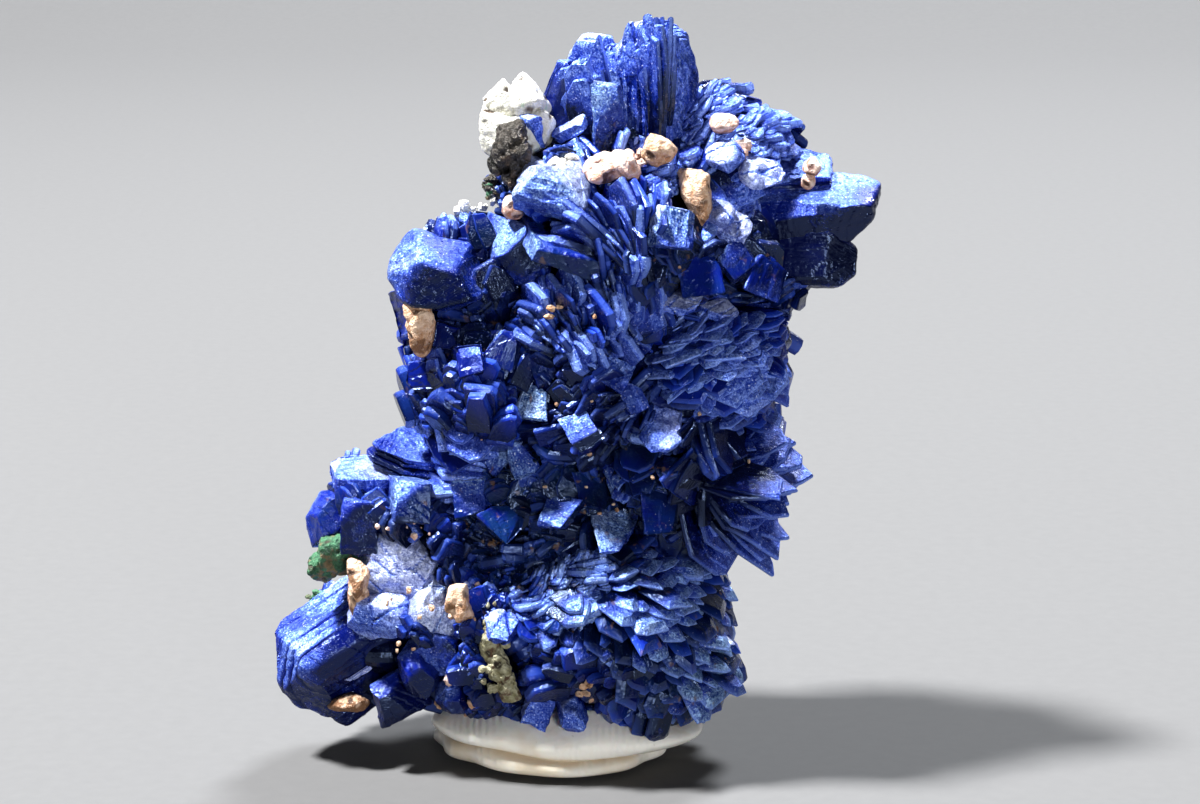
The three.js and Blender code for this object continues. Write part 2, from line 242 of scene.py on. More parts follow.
def floor_sheet(across=33, along=60):
    """A level sheet that turns up behind in a quarter circle and goes on straight up."""
    u = np.linspace(-1, 1, across)[:, None]
    s = np.linspace(0, 1, along)[None, :]
    bend = np.clip((s - 0.5) / 0.25, 0, 1) * np.pi / 2
    level = np.clip(s / 0.5, 0, 1)
    y = -FLOOR_HALF + level * (FLOOR_HALF + FLOOR_BACK) + FLOOR_BEND * np.sin(bend)
    z = FLOOR_BEND * (1 - np.cos(bend)) + np.clip((s - 0.75) / 0.25, 0, 1) * FLOOR_RISE
    x = u * FLOOR_HALF + 0 * s
    return np.stack([x, y + 0 * u, z + 0 * u], axis=-1)


def grid_faces(rows, columns, around=False):
    """Corner numbers of the four-sided faces of a grid, joined round its second way if asked."""
    i = np.arange(rows - 1)[:, None]
    j = np.arange(columns if around else columns - 1)[None, :]
    k = (j + 1) % columns
    a, b = i * columns + j, i * columns + k
    return np.stack([a, b, b + columns, a + columns], axis=-1).reshape(-1, 4)


def new_mesh(name, points, faces, material, smooth=False, **attributes):
    """A mesh object from points in millimetres and faces, all with the same count of corners or
    given as (loop starts, corners). Attributes are one number or three for each point."""
    mesh = bpy.data.meshes.new(name)
    if isinstance(faces, tuple):
        starts, corners = faces
    else:
        starts = np.arange(len(faces)) * faces.shape[1]
        corners = faces.ravel()
    mesh.vertices.add(len(points))
    mesh.vertices.foreach_set("co", (points * MM).astype(np.float32).ravel())
    mesh.loops.add(len(corners))
    mesh.loops.foreach_set("vertex_index", corners.astype(np.int32))
    mesh.polygons.add(len(starts))
    mesh.polygons.foreach_set("loop_start", starts.astype(np.int32))
    mesh.polygons.foreach_set("use_smooth", np.full(len(starts), smooth))
    for key, values in attributes.items():
        kind, field = ("FLOAT", "value") if values.ndim == 1 else ("FLOAT_VECTOR", "vector")
        made = mesh.attributes.new(key, kind, "POINT")
        made.data.foreach_set(field, values.astype(np.float32).ravel())
    mesh.update(calc_edges=True)
    mesh.validate()
    mesh.materials.append(material)
    made = bpy.data.objects.new(name, mesh)
    bpy.context.scene.collection.objects.link(made)
    print(name, "points", len(points), "faces", len(mesh.polygons))
    return made


floor_paint = Paint("pale_floor", Roughness=0.9)
speckle = floor_paint.noise(900.0, 2.0)
floor_paint.finish(Base_Color=floor_paint.mix(speckle, (0.090, 0.090, 0.091), (0.102, 0.102, 0.103)))
sheet = floor_sheet()
floor = new_mesh(
    "floor", sheet.reshape(-1, 3), grid_faces(*sheet.shape[:2])[:, ::-1], floor_paint.material, True
)

# %% [markdown]
# ## Places as the eye has them
#
# A specimen is described from the side it is shown from. So the tables give a place by how far
# across and how far up it appears from the camera, in millimetres, and by its depth. These two
# functions go from a place to how it appears, and back.

# %% To the eye and back
VIEW_MIDDLE = np.array([1.8, 24.93])  # across and up of look_at, as it appears


def unit(v):
    """Each vector of an array made one long."""
    return v / np.maximum(np.linalg.norm(v, axis=-1, keepdims=True), 1e-9)


forward = unit(look_at - eye)
TO_EYE = -forward
view_right = np.array([1.0, 0.0, 0.0])
view_up = np.cross(view_right, forward)


def seen(points):
    """Across and up of table points: each sight line is cut by the plane through look_at."""
    lines = points + STEP - eye
    lines = lines * (EYE_DISTANCE / (lines @ forward))[:, None]
    return np.stack([lines @ view_right, lines @ view_up], axis=-1) + VIEW_MIDDLE


def placed(across, up, depth):
    """The table point at that depth (table Y) on the sight line of a place as seen."""
    across, up = across - VIEW_MIDDLE[0], up - VIEW_MIDDLE[1]
    line = EYE_DISTANCE * forward + across * view_right + up * view_up
    share = (depth + STEP[1] - eye[1]) / line[1]
    return eye + share * line - STEP


print("a place 5 mm in front of the middle:", placed(1.8, 24.9, -5.0).round(2))

# %% [markdown]
# ## The mass under the crystals
#
# The specimen is a heap of swellings. A swelling is a ball pulled out to three half sizes. The
# same list is used for the dark bodies deep between the crystals and for the seats of the
# crystals themselves.

# %% The swellings
LOBES = {
    # name: centre, half sizes
    "shoulder": ([10.2, 1.5, 39.6], [4.8, 5.4, 4.1]),
    "shoulder_top": ([9.0, 1.6, 41.2], [3.4, 4.0, 3.7]),
    "crown": ([3.4, 1.8, 41.6], [4.6, 4.8, 4.4]),
    "neck": ([-1.4, 0.6, 39.3], [3.4, 5.6, 3.8]),
    "fan": ([4.6, -0.6, 35.2], [6.4, 7.4, 5.6]),
    "wedge_root": ([11.2, 0.4, 34.2], [4.0, 5.8, 4.4]),
    "upper_left": ([-6.2, 0.4, 32.4], [3.6, 5.4, 3.8]),
    "lavender": ([1.2, -0.8, 30.6], [5.4, 7.2, 4.6]),
    "right_sheaf": ([9.0, 0, 27.6], [4.7, 7.2, 4.6]),
    "shingles": ([-5.8, 0, 25.8], [4.9, 6.8, 5.4]),
    "heart": ([1.4, -0.4, 25.0], [5.4, 7.4, 5.2]),
    "open_book": ([7.4, -0.4, 20.8], [5.6, 7.6, 6.2]),
    "hollow": ([-2.0, 0.8, 17.6], [7.8, 7.0, 6.4]),
    "dahlia": ([1.9, -0.6, 10.0], [7.8, 8.4, 6.6]),
    "dahlia_foot": ([5.5, -0.6, 6.6], [4.8, 6.6, 4.0]),
    "left_arm": ([-12.8, -0.6, 16.8], [3.2, 4.8, 2.8]),
    "left_elbow": ([-9.6, 0, 15.2], [4.0, 5.6, 4.0]),
    "shell_root": ([-10.6, -1.6, 11.4], [4.6, 5.6, 4.6]),
    "foot": ([-12.8, 0.2, 7.6], [5.0, 5.8, 3.6]),
    "toe": ([-5.6, -1.0, 8.4], [5.0, 6.8, 5.0]),
    "back_low": ([-3.6, 4.0, 11.4], [8.4, 6.0, 6.6]),
    "back_middle": ([3.8, 4.0, 20.4], [7.4, 6.2, 7.4]),
    "back_waist": ([-3.2, 4.0, 26.6], [6.8, 6.0, 6.4]),
    "back_high": ([4.6, 4.0, 34.6], [7.4, 6.2, 6.2]),
}


def spread_ways(count, turn):
    """count directions spread evenly over a ball: equal steps down, a golden angle round."""
    k = np.arange(count)
    up = 1 - (2 * k + 1) / count
    ring = np.sqrt(1 - up**2)
    angle = k * GOLDEN_ANGLE + turn
    return np.stack([ring * np.cos(angle), ring * np.sin(angle), up], axis=-1)


def deepest(points, leave_out=None):
    """How deep in any swelling each point lies: 1 at a centre, 0 on the skin, less outside."""
    depth = np.full(len(points), -9.0)
    for name, (centre, half) in LOBES.items():
        if name != leave_out:
            inside = 1 - np.linalg.norm((points - centre) / half, axis=1)
            depth = np.maximum(depth, inside)
    return depth


def waves(points, scale, seed, count=5):
    """A smooth wandering number, about -1 to 1: a sum of sines that run in random directions."""
    draw = np.random.default_rng(seed)
    ways = unit(draw.normal(size=(count, 3))) * scale * draw.uniform(0.7, 1.5, (count, 1))
    return np.sin(points @ ways.T + draw.uniform(0, TAU, count)).mean(axis=1) * 1.6


LOWEST_SEAT = 3.2  # no crystal grows lower than this, where the putty begins
SKIN = 0.05  # a seat deeper than this in another swelling is left out


def skin_seats(apart, turn):
    """Points spread over the skin of the whole heap, that far apart, and their outward ways."""
    seats, ways = [], []
    for name, (centre, half) in LOBES.items():
        count = int(4 * np.pi * np.mean(half) ** 2 / apart**2)
        way = spread_ways(count, turn)
        seat = np.array(centre) + way * half
        free = (deepest(seat, name) < SKIN) & (seat[:, 2] > LOWEST_SEAT)
        seats.append(seat[free])
        ways.append(unit(way[free] / half))
    return np.concatenate(seats), np.concatenate(ways)


print("swellings:", len(LOBES), "seats 1.2 mm apart:", len(skin_seats(1.2, 0.0)[0]))

# %% [markdown]
# ## Grids that close
#
# The great crystals, the stones, the crumbs and the dark mass all begin as a cube whose six sides
# carry a square grid. The cube can be blown up to a ball, cut by planes or pushed in and out, and
# it stays closed, because the sides share the points of their edges. A ball of rings and columns
# would do as well, but its poles crowd the points together, and a cube's own edges suit a crystal.


# %% The cube grid
def cube_grid(steps):
    """Points and four-sided faces of a cube from -1 to 1, each side a grid of steps by steps."""
    line = np.linspace(-1, 1, steps + 1)
    u, v = (part.ravel() for part in np.meshgrid(line, line, indexing="ij"))
    i = np.arange(steps)[:, None] * (steps + 1) + np.arange(steps)[None, :]
    quad = np.stack([i, i + steps + 1, i + steps + 2, i + 1], axis=-1).reshape(-1, 4)
    points, faces = [], []
    for axis in range(3):
        for side in (-1.0, 1.0):
            point = np.stack([u, v, np.full(len(u), side)], axis=-1)
            points.append(np.roll(point, axis, axis=1))
            faces.append((quad if side > 0 else quad[:, ::-1]) + (len(points) - 1) * len(u))
    points, same = np.unique(np.concatenate(points).round(6), axis=0, return_inverse=True)
    return points, same.reshape(-1)[np.concatenate(faces)]


def outward(points, faces):
    """The way each point's surface looks: the sum of its faces' normals, made one long."""
    corner = points[faces]
    normal = np.cross(corner[:, 2] - corner[:, 0], corner[:, 3] - corner[:, 1])
    total = np.zeros_like(points)
    for k in range(4):
        np.add.at(total, faces[:, k], normal)
    return unit(total)


print("cube grid of 12 steps:", [len(part) for part in cube_grid(12)])

# %% [markdown]
# ## One small crystal
#
# An azurite crystal is a flat table with eight corners or so, sharpened all round to a chisel
# edge. It could be cut from a cube with bevels, but thousands are needed, each a little
# different, so one function makes them all at once: it takes an array of places, directions and
# sizes, and returns the corners of every crystal. Two eight-cornered outlines, a blunt one and a
# pointed one, are mixed for each crystal, and each corner is moved a little by chance.

# %% Its outline and its faces
BLUNT = np.array(
    [(-0.46, 0.0), (-0.50, 0.55), (-0.45, 0.92), (-0.34, 1.0),
     (0.30, 0.97), (0.42, 0.90), (0.50, 0.45), (0.46, 0.0)]
)
POINTED = np.array(
    [(-0.40, 0.0), (-0.50, 0.50), (-0.44, 0.66), (-0.08, 0.98),
     (0.04, 1.0), (0.34, 0.76), (0.50, 0.40), (0.40, 0.0)]
)
CORNERS = len(BLUNT)


def crystal_faces():
    """The two broad faces as eight-sided faces, and three rings of four-sided ones between."""
    ring = np.arange(CORNERS)
    following = (ring + 1) % CORNERS
    bands = [
        np.stack([upper + ring, lower + ring, lower + following, upper + following], axis=1)
        for upper, lower in ((0, CORNERS), (CORNERS, 2 * CORNERS), (2 * CORNERS, 3 * CORNERS))
    ]
    corners = np.concatenate([ring, *[band.ravel() for band in bands], (3 * CORNERS + ring)[::-1]])
    counts = np.concatenate([[CORNERS], np.full(3 * CORNERS, 4), [CORNERS]])
    return np.cumsum(counts) - counts, corners


def many(faces, points_each, count):
    """The same faces again for count copies of a body that has points_each points."""
    starts, corners = faces
    shift = np.arange(count)[:, None]
    all_starts = (starts[None, :] + shift * len(corners)).ravel()
    all_corners = (corners[None, :] + shift * points_each).ravel()
    return all_starts, all_corners


# %% Many crystals at once
def crystals(root, out, face, size, draw, chisel=0.10, side=0.45, pointed=(0.0, 1.0), uneven=0.05):
    """Corners of many tabular crystals, and what their finish needs.

    root: where each begins. out: the way it grows. face: the way its broad face looks.
    size: width, thickness and length. Four rings of eight corners make one crystal: the front
    face's edge, drawn in by the chisel width, the rim's front, the rim's back, and the back
    face's edge. The rim is `side` as thick as the middle. The blade is bent a little: it leaves
    its own plane by a share of its length that grows as the square of the way along it."""
    count = len(root)
    width, thick, length = (size[:, k, None] for k in range(3))
    share = draw.uniform(*pointed, (count, 1, 1))
    outline = BLUNT * (1 - share) + POINTED * share
    outline = outline + draw.normal(0, uneven, outline.shape)
    outline[:, :, 0] *= np.where(draw.random((count, 1)) < 0.5, 1, -1)
    flipped = outline[:, 0, 0] > outline[:, -1, 0]
    outline[flipped] = outline[flipped][:, ::-1]
    middle = np.array([0.0, 0.5])
    inset = np.minimum(chisel * np.ones((count, 1)), 0.35 * width)
    drawn_in = np.stack([1 - 2 * inset / width, 1 - 2 * inset / length], axis=-1)
    inner = middle + (outline - middle) * drawn_in
    half = thick / 2 * np.ones((count, CORNERS))
    uv = np.concatenate([inner, outline, outline, inner], axis=1)
    lift = np.concatenate([half, side * half, -side * half, -half], axis=1)
    lift = lift + draw.normal(0, 0.03, lift.shape) * thick
    bend = draw.normal(0, 0.012, (count, 1)) * length
    lift = lift + bend * (uv[:, :, 1] ** 2 - 0.3)
    growth = unit(out)
    across = unit(np.cross(growth, face))
    normal = np.cross(across, growth)
    points = (
        root[:, None]
        + across[:, None] * (uv[:, :, 0] * width)[..., None]
        + growth[:, None] * (uv[:, :, 1] * length)[..., None]
        + normal[:, None] * lift[..., None]
    )
    own = draw.uniform(0, 50, (count, 1)) * np.ones((1, 4 * CORNERS))
    rim = np.repeat([0.0, 1.0, 1.0, 0.0], CORNERS)[None, :] * np.ones((count, 1))
    # Frost goes to the outer end, partly crust and partly painted light; stand later darkens the root,
    # a painted shade.
    tip = np.clip(uv[:, :, 1] * 1.6 - 0.7, 0, 1)
    return {
        "points": points,
        "sheet": np.stack([uv[:, :, 0] * width, uv[:, :, 1] * length, own], axis=-1),
        "rim": rim,
        "tone": draw.random((count, 1)) * np.ones((1, 4 * CORNERS)),
        "stand": np.clip(uv[:, :, 1] * 2.0 - 0.8, 0, 1),
        "frost": 0.25 * tip,
        "green": np.zeros((count, 4 * CORNERS)),
    }


# %% Growth steps
def stepped(root, out, face, size, draw, copies, **how):
    """Crystals with growth steps: to the broad face of each, smaller copies are stuck."""
    out, face = unit(out), unit(face)
    roots, sizes = [root], [size]
    across = unit(np.cross(out, face))
    for _ in range(copies):
        share = draw.uniform([0.45, 0.7, 0.6], [0.85, 1.0, 0.95], size.shape)
        room = (1 - share[:, :1]) / 2 * size[:, :1]
        slide = draw.uniform(-1, 1, (len(root), 1)) * room
        side = np.where(draw.random((len(root), 1)) < 0.7, 1, -1)
        off = side * 0.75 * size[:, 1:2]
        normal = np.cross(across, out)
        roots.append(root + across * slide + normal * off + out * draw.normal(0, 0.1, slide.shape))
        sizes.append(size * share)
    times = copies + 1
    return crystals(
        np.concatenate(roots), np.tile(out, (times, 1)), np.tile(face, (times, 1)),
        np.concatenate(sizes), draw, **how,
    )


def gathered(name, groups, material):
    """One mesh object of many groups of crystals."""
    joined = {key: np.concatenate([g[key] for g in groups]) for key in groups[0]}
    joined.pop("stand")
    count = len(joined["points"])
    flat = {
        key: value.reshape(-1, 3) if value.ndim == 3 else value.reshape(-1)
        for key, value in joined.items()
    }
    faces = many(crystal_faces(), 4 * CORNERS, count)
    return new_mesh(name, flat.pop("points") + STEP, faces, material, **flat)


print("faces of one crystal:", len(crystal_faces()[0]))

# %% [markdown]
# ## Great crystals
#
# Some crystals are large enough to have a shape of their own. Such a crystal is a block cut by
# planes. The planes can be cut one after the other with a boolean, but there is a shorter way: a
# point of a cube grid is drawn in until it meets the first plane in its way. If the shares that
# all planes take are added at a high power, the edges come out sharp but not razor sharp.
#
# Then the surface is pushed in and out along its own normals: ridges that run along the growth,
# low terraces, cracks between flakes, and the crust of tiny crystals.

# %% The forms they are cut to
ARCH = 0.57  # how much of the half length the round top of a dome takes
FORMS = {
    # planes a, b, c, d: the block keeps what has a * across + b * growth + c * thickness <= d,
    # where each half size of the block counts as 1
    "plain": [(1, 0.25, 0.3, 1.35), (-1, 0.3, 0.2, 1.32), (0.2, 1, 0.5, 1.45)],
    "wedge": [(0, 0.3, 1, 0.9), (0, 0.15, -1, 0.95), (1, 0.4, 0, 1.0), (-1, 0.3, 0, 1.1),
              (0, 1, -0.6, 1.05), (0, 1, 0.9, 1.45), (1, 0, 1, 1.5)],
    "point": [(1, 0.9, 0, 1.1), (-1, 0.9, 0, 1.15), (0, 0.5, 1, 1.1), (0, 0.5, -1, 1.1)],
    "gem": [(1, 0.5, 0.6, 1.3), (-1, 0.6, 0.5, 1.3), (0.3, 1, -0.6, 1.25), (-0.5, 0.8, 0.9, 1.35),
            (0.8, 0.2, -0.9, 1.3), (-0.9, 0.1, -0.8, 1.3)],
    "shield": [(-0.95, 0.8, 0, 0.95), (0.9, 1.0, 0, 1.25), (0, 0.6, 0.8, 1.25),
               (0.5, -0.2, 1, 1.15), (-0.6, 0.3, 1, 1.1)],
    "dome": [(np.cos(a), np.sin(a) / ARCH, 0, 1 + (1 / ARCH - 1) * np.sin(a))
             for a in np.radians(range(20, 170, 20))]
            + [(0, np.sin(a) / ARCH, np.cos(a), 1 + (1 / ARCH - 1) * np.sin(a))
               for a in np.radians(range(30, 160, 30))]
            + [(a, 0.75, c, 1.6) for a in (-0.8, 0.8) for c in (-0.8, 0.8)]
            + [(1, 0, 1, 1.5), (-1, 0, -1, 1.6)],
    "coin": [(0.75, 0.75, 0, 1.1), (-0.7, 0.8, 0, 1.15), (0.8, -0.7, 0, 1.15),
             (-0.75, -0.8, 0, 1.1), (0.5, 0.2, 1, 1.3), (-0.4, 0.6, 1, 1.3)],
    "bar": [(0.7, 1, 0, 1.3), (-0.8, 1, 0, 1.25), (0, 1, 0.8, 1.3), (0, 1, -0.7, 1.2),
            (1, 0, 0.9, 1.6), (-1, 0, 1, 1.75)],
    "boulder": [(1, 0.6, 0.5, 1.25), (-1, 0.7, 0.6, 1.3), (0.9, -0.2, -0.9, 1.25),
                (-0.8, 0.3, -1, 1.25), (0.1, 1, 1, 1.4), (1, -0.5, 0.8, 1.45), (-1, -0.4, 0.9, 1.35),
                (0.7, 0.9, -0.3, 1.3)],
}

# %% The table of great crystals
GREAT = [
    # root, the way it grows, the way its broad face looks, width, thickness, length, form, how
    # many leaves it is split into, frost, green, and how many flakes it is cracked into
    ([5.5, 0.4, 39.9], [-0.02, 0, 1], [0.78, -0.62, 0], 5.2, 4.6, 9.9, "dome", 12, 0.6, 0, 0),
    ([0.7, 0.9, 40.2], [0.05, 0, 1], [-0.3, -1, 0.15], 5.0, 3.2, 8.2, "shield", 4, 0.7, 0.2, 0),
    ([2.8, 1.0, 42.0], [0.0, 0, 1], [-0.3, -1, 0.1], 2.4, 2.6, 6.0, "point", 3, 0.5, 0, 0),
    ([-0.6, -0.2, 40.8], [0.0, 0, 1], [-0.4, -1, 0.2], 3.4, 1.8, 6.2, "shield", 3, 0.1, 0, 0),
    ([1.8, -0.6, 41.0], [0.02, -0.05, 1], [0.1, -1, 0.2], 2.6, 1.4, 4.4, "gem", 0, 0.6, 0.9, 0),
    ([3.8, -1.0, 41.2], [0.0, 0, 1], [-0.6, -0.8, 0.1], 1.9, 1.2, 8.3, "point", 4, 0.6, 0, 0),
    ([4.9, -1.4, 40.6], [0.0, 0, 1], [-0.7, -0.7, 0.1], 1.5, 1.2, 7.2, "point", 4, 0.2, 0, 0),
    ([2.2, -1.8, 41.4], [0.0, -0.2, 1], [0.4, -1, 0.3], 2.2, 1.8, 4.4, "gem", 0, 0.35, 0.6, 0),
    ([-0.9, -1.5, 42.3], [0.9, -0.5, 0.5], [0.1, -0.6, 1], 1.6, 0.7, 2.4, "plain", 0, 0.4, 0, 0),
    ([-2.4, -1.6, 41.6], [-0.2, -0.4, 0.9], [-0.3, -0.8, 0.4], 1.7, 1.3, 2.2, "gem", 0, 0.5, 0, 0),
    ([-0.8, -0.6, 38.9], [-0.1, -1, 0.05], [0, 0.1, 1], 5.2, 3.6, 7.0, "gem", 0, 0.8, 0.5, 0),
    ([-1.4, -2.0, 36.2], [0.2, -1, -0.2], [0.3, 0.2, 1], 4.8, 1.4, 6.6, "plain", 0, 0.0, 0.8, 0),
    ([11.2, 0.2, 36.2], [1, -0.12, 0.15], [-0.08, -0.35, 1], 5.2, 4.0, 8.8, "wedge", 0, 0.1, 0, 0),
    ([12.4, 1.0, 39.0], [1, -0.1, 0.0], [-0.1, -0.35, 1], 4.4, 2.6, 4.8, "wedge", 3, 0.4, 0, 0),
    ([11.8, -0.6, 34.2], [1, -0.15, -0.02], [0.15, -1, 0.15], 3.8, 3.4, 7.0, "bar", 0, 0.0, 0, 0),
    ([10.6, 1.2, 30.8], [1, -0.2, 0.1], [0.1, -0.3, 1], 4.4, 1.6, 4.2, "plain", 3, 0.2, 0, 0),
    ([-8.2, 0.6, 33.0], [-0.12, -1, 0.1], [0.25, 0.1, 1], 6.8, 5.0, 6.8, "boulder", 0, 0.35, 0.1, 0),
    ([-4.4, 0.4, 34.6], [0.25, -1, 0.05], [0.25, 0.1, 1], 3.8, 4.0, 6.2, "gem", 0, 0.25, 0.3, 0),
    ([-9.2, 0.2, 30.4], [-1, -0.5, -0.1], [-0.3, -1, 0.2], 3.4, 2.2, 2.6, "plain", 0, 0.0, 0, 0),
    ([-12.0, -0.8, 19.3], [-1, -0.2, 0.02], [0.1, -0.25, 1], 4.2, 1.4, 4.1, "plain", 2, 0.6, 0, 0),
    ([-13.6, -1.4, 16.8], [-0.1, -1, 0], [0, 0, 1], 2.6, 3.6, 4.2, "plain", 0, 0.0, 0, 0),
    ([-14.8, -0.8, 16.5], [-0.75, -0.6, 0], [0.1, 0, 1], 3.6, 3.6, 3.1, "boulder", 0, 0.15, 0.5, 0),
    ([-11.3, -1.4, 18.2], [0.2, -1, 0.1], [0.1, 0.1, 1], 2.6, 2.8, 4.4, "plain", 0, 0.15, 0.5, 0),
    ([-11.3, -2.4, 16.0], [0.1, -1, 0.2], [0, 0.2, 1], 2.4, 1.6, 3.0, "gem", 0, 0.1, 0, 0),
    ([-11.3, -1.8, 13.0], [-0.1, -1, 0.35], [-0.3, 0.35, 1], 5.6, 5.0, 4.0, "gem", 0, 1.25, 0, 12),
    ([-12.2, -3.2, 11.1], [-0.3, -1, -0.1], [-0.2, 0, 1], 4.6, 3.4, 3.4, "gem", 0, 1.1, 0, 5),
    ([-9.5, -2.7, 11.3], [0.35, -1, 0.1], [0.3, 0.1, 1], 3.4, 4.0, 3.8, "plain", 0, 1.2, 0.6, 6),
    ([-9.0, -3.2, 8.6], [0.1, -1, 0.0], [0.3, 0.1, 1], 3.4, 3.0, 4.0, "gem", 0, 0.5, 0, 0),
    ([-11.6, -0.4, 9.6], [-0.80, -0.16, -0.52], [0.34, -0.90, -0.30], 6.6, 6.0, 9.2, "bar", 7,
     0.1, 0, 0),
    ([-14.9, -4.0, 5.95], [0.80, 0.16, 0.52], [0.34, -0.9, -0.3], 0.4, 0.3, 3.9, "plain", 0, 1.2, 0, 0),
    ([-10.6, -3.4, 5.4], [-0.6, -0.6, -0.2], [0.3, -1, 0.3], 3.2, 2.4, 3.4, "gem", 0, 0.0, 0, 0),
    ([-10.0, -3.0, 7.4], [0, -1, -0.1], [-0.5, 0, 1], 2.6, 3.4, 4.2, "boulder", 0, 0.1, 0, 0),
    ([-7.9, -3.0, 5.8], [0, -1, -0.2], [0.2, -0.2, 1], 2.4, 1.8, 3.8, "boulder", 0, 0.15, 0, 0),
    ([-2.2, -4.0, 5.8], [0, -1, -0.2], [0.4, 0, 1], 2.0, 2.4, 4.2, "plain", 0, 0.5, 0, 0),
    ([-0.4, -4.2, 5.0], [0.1, -1, -0.2], [-0.3, 0, 1], 1.9, 2.2, 4.0, "gem", 0, 0.6, 0, 0),
    ([-9.0, -0.6, 20.6], [-1, -0.3, 0.14], [0.1, -0.4, 1], 4.0, 1.7, 4.4, "point", 4, 0.1, 0, 0),
]
print("great crystals in the table:", len(GREAT))

# %% Plates that lie open
# Broad plates that lie open to the eye: across and up as seen, width, length, the angle of the
# growth from level, how far the face is turned up and to the right (degrees), form, frost, green
OPEN_PLATES = [
    (6.0, 23.0, 3.0, 3.8, -100, 30, 0, "point", 0.7, 0),
    (10.6, 36.6, 2.8, 2.4, 70, 35, 10, "coin", 1.2, 0),
    (9.6, 37.6, 1.8, 1.6, 60, 40, 10, "coin", 1.2, 0),
    (12.7, 40.2, 2.8, 2.6, 75, 30, 15, "coin", 1.15, 0),
    (10.0, 41.3, 2.0, 1.8, 60, 30, -10, "coin", 0.85, 0),
    (8.2, 33.3, 2.2, 2.4, 100, 20, 0, "plain", 0.1, 0.4),
    (6.5, 36.4, 2.6, 2.8, 80, 20, 10, "plain", 0.4, 0.5),
    (7.0, 31.6, 2.6, 2.0, 80, 45, 0, "coin", 0.95, 0),
    (9.8, 31.0, 2.4, 1.6, 70, 50, 5, "coin", 0.95, 0),
    (-5.1, 21.4, 1.9, 2.0, 60, 10, -15, "point", 0.55, 0.6),
    (-3.4, 21.1, 1.8, 2.4, 110, 15, 20, "point", 0.6, 0.6),
    (-2.6, 24.9, 2.0, 2.2, 80, 10, -20, "plain", 0.3, 0.8),
    (-10.0, 26.6, 2.3, 2.3, 90, 5, -25, "coin", 0.0, 0),
    (2.6, 27.0, 2.4, 2.4, 60, 30, 15, "plain", 0.5, 0.3),
    (2.8, 17.0, 4.0, 3.0, 20, 40, 10, "point", 0.3, 0.6),
    (5.8, 17.7, 3.0, 2.2, 0, 20, 20, "plain", 0.0, 0.4),
    (-0.8, 17.8, 2.6, 2.2, 150, 45, -10, "plain", 0.2, 0.7),
    (-4.4, 17.0, 2.2, 2.4, 40, 25, 10, "gem", 0.1, 0.8),
    (-7.0, 18.6, 2.4, 2.6, 100, 10, -10, "plain", 0.2, 0.6),
    (-4.7, 10.0, 3.0, 2.2, 160, 45, 10, "coin", 0.6, 0),
    (12.9, 22.6, 2.6, 2.6, -20, 40, 30, "point", 0.7, 0),
    (-6.8, 27.6, 2.0, 2.2, 100, 10, -15, "plain", 0.0, 0),
    (-4.6, 28.4, 2.0, 2.4, 70, 5, 0, "plain", 0.05, 0.3),
    (-2.0, 27.2, 2.0, 2.2, 110, 15, 10, "gem", 0.1, 0.4),
    (-8.4, 29.2, 2.2, 1.8, 80, 0, -20, "plain", 0.0, 0.2),
    (0.6, 23.2, 2.4, 2.0, 30, 25, -10, "plain", 0.2, 0.4),
    (3.8, 25.4, 1.8, 2.6, 120, 15, 15, "point", 0.35, 0.3),
    (12.8, 33.2, 2.4, 2.8, 60, 10, 25, "plain", 0.1, 0.2),
    (11.0, 34.2, 2.0, 2.4, 130, 15, 10, "plain", 0.2, 0.3),
]
PROUD = 1.1  # how far an open plate stands out of the heap's skin
PLATE_THICK = 0.6
COIN_FLAKES = 3  # a coin is cracked into this many flakes
print("open plates:", len(OPEN_PLATES))

# %% How rough a great crystal is
# The way to the key lamp. Faces that look there are painted a lighter tone, and get more frost, partly
# crust and partly painted sheen.
LIGHT_WAY = unit(np.array([-0.45, -0.05, 0.9]))  # crusts are thickest on the sides that look there
EDGE_POWER = 36  # the higher, the sharper the edges between planes
# How deep, in millimetres: a leaf's step and the groove beside it, cracks, ridges, terraces, the
# crust of tiny crystals and the broad lumps under it
LEAF_STEP, LEAF_GROOVE, CRACK = 0.16, 0.20, 0.07
RIDGE, TERRACE, CRUST, LUMP = 0.07, 0.05, 0.05, 0.28
FINE_STEPS, PLAIN_STEPS = 15, 8  # grid steps for each millimetre of a block's longest half size
FEWEST_STEPS, MOST_STEPS = 16, 68
PLATE = 1.0  # a block thinner than this is a plate, and its planes are less even


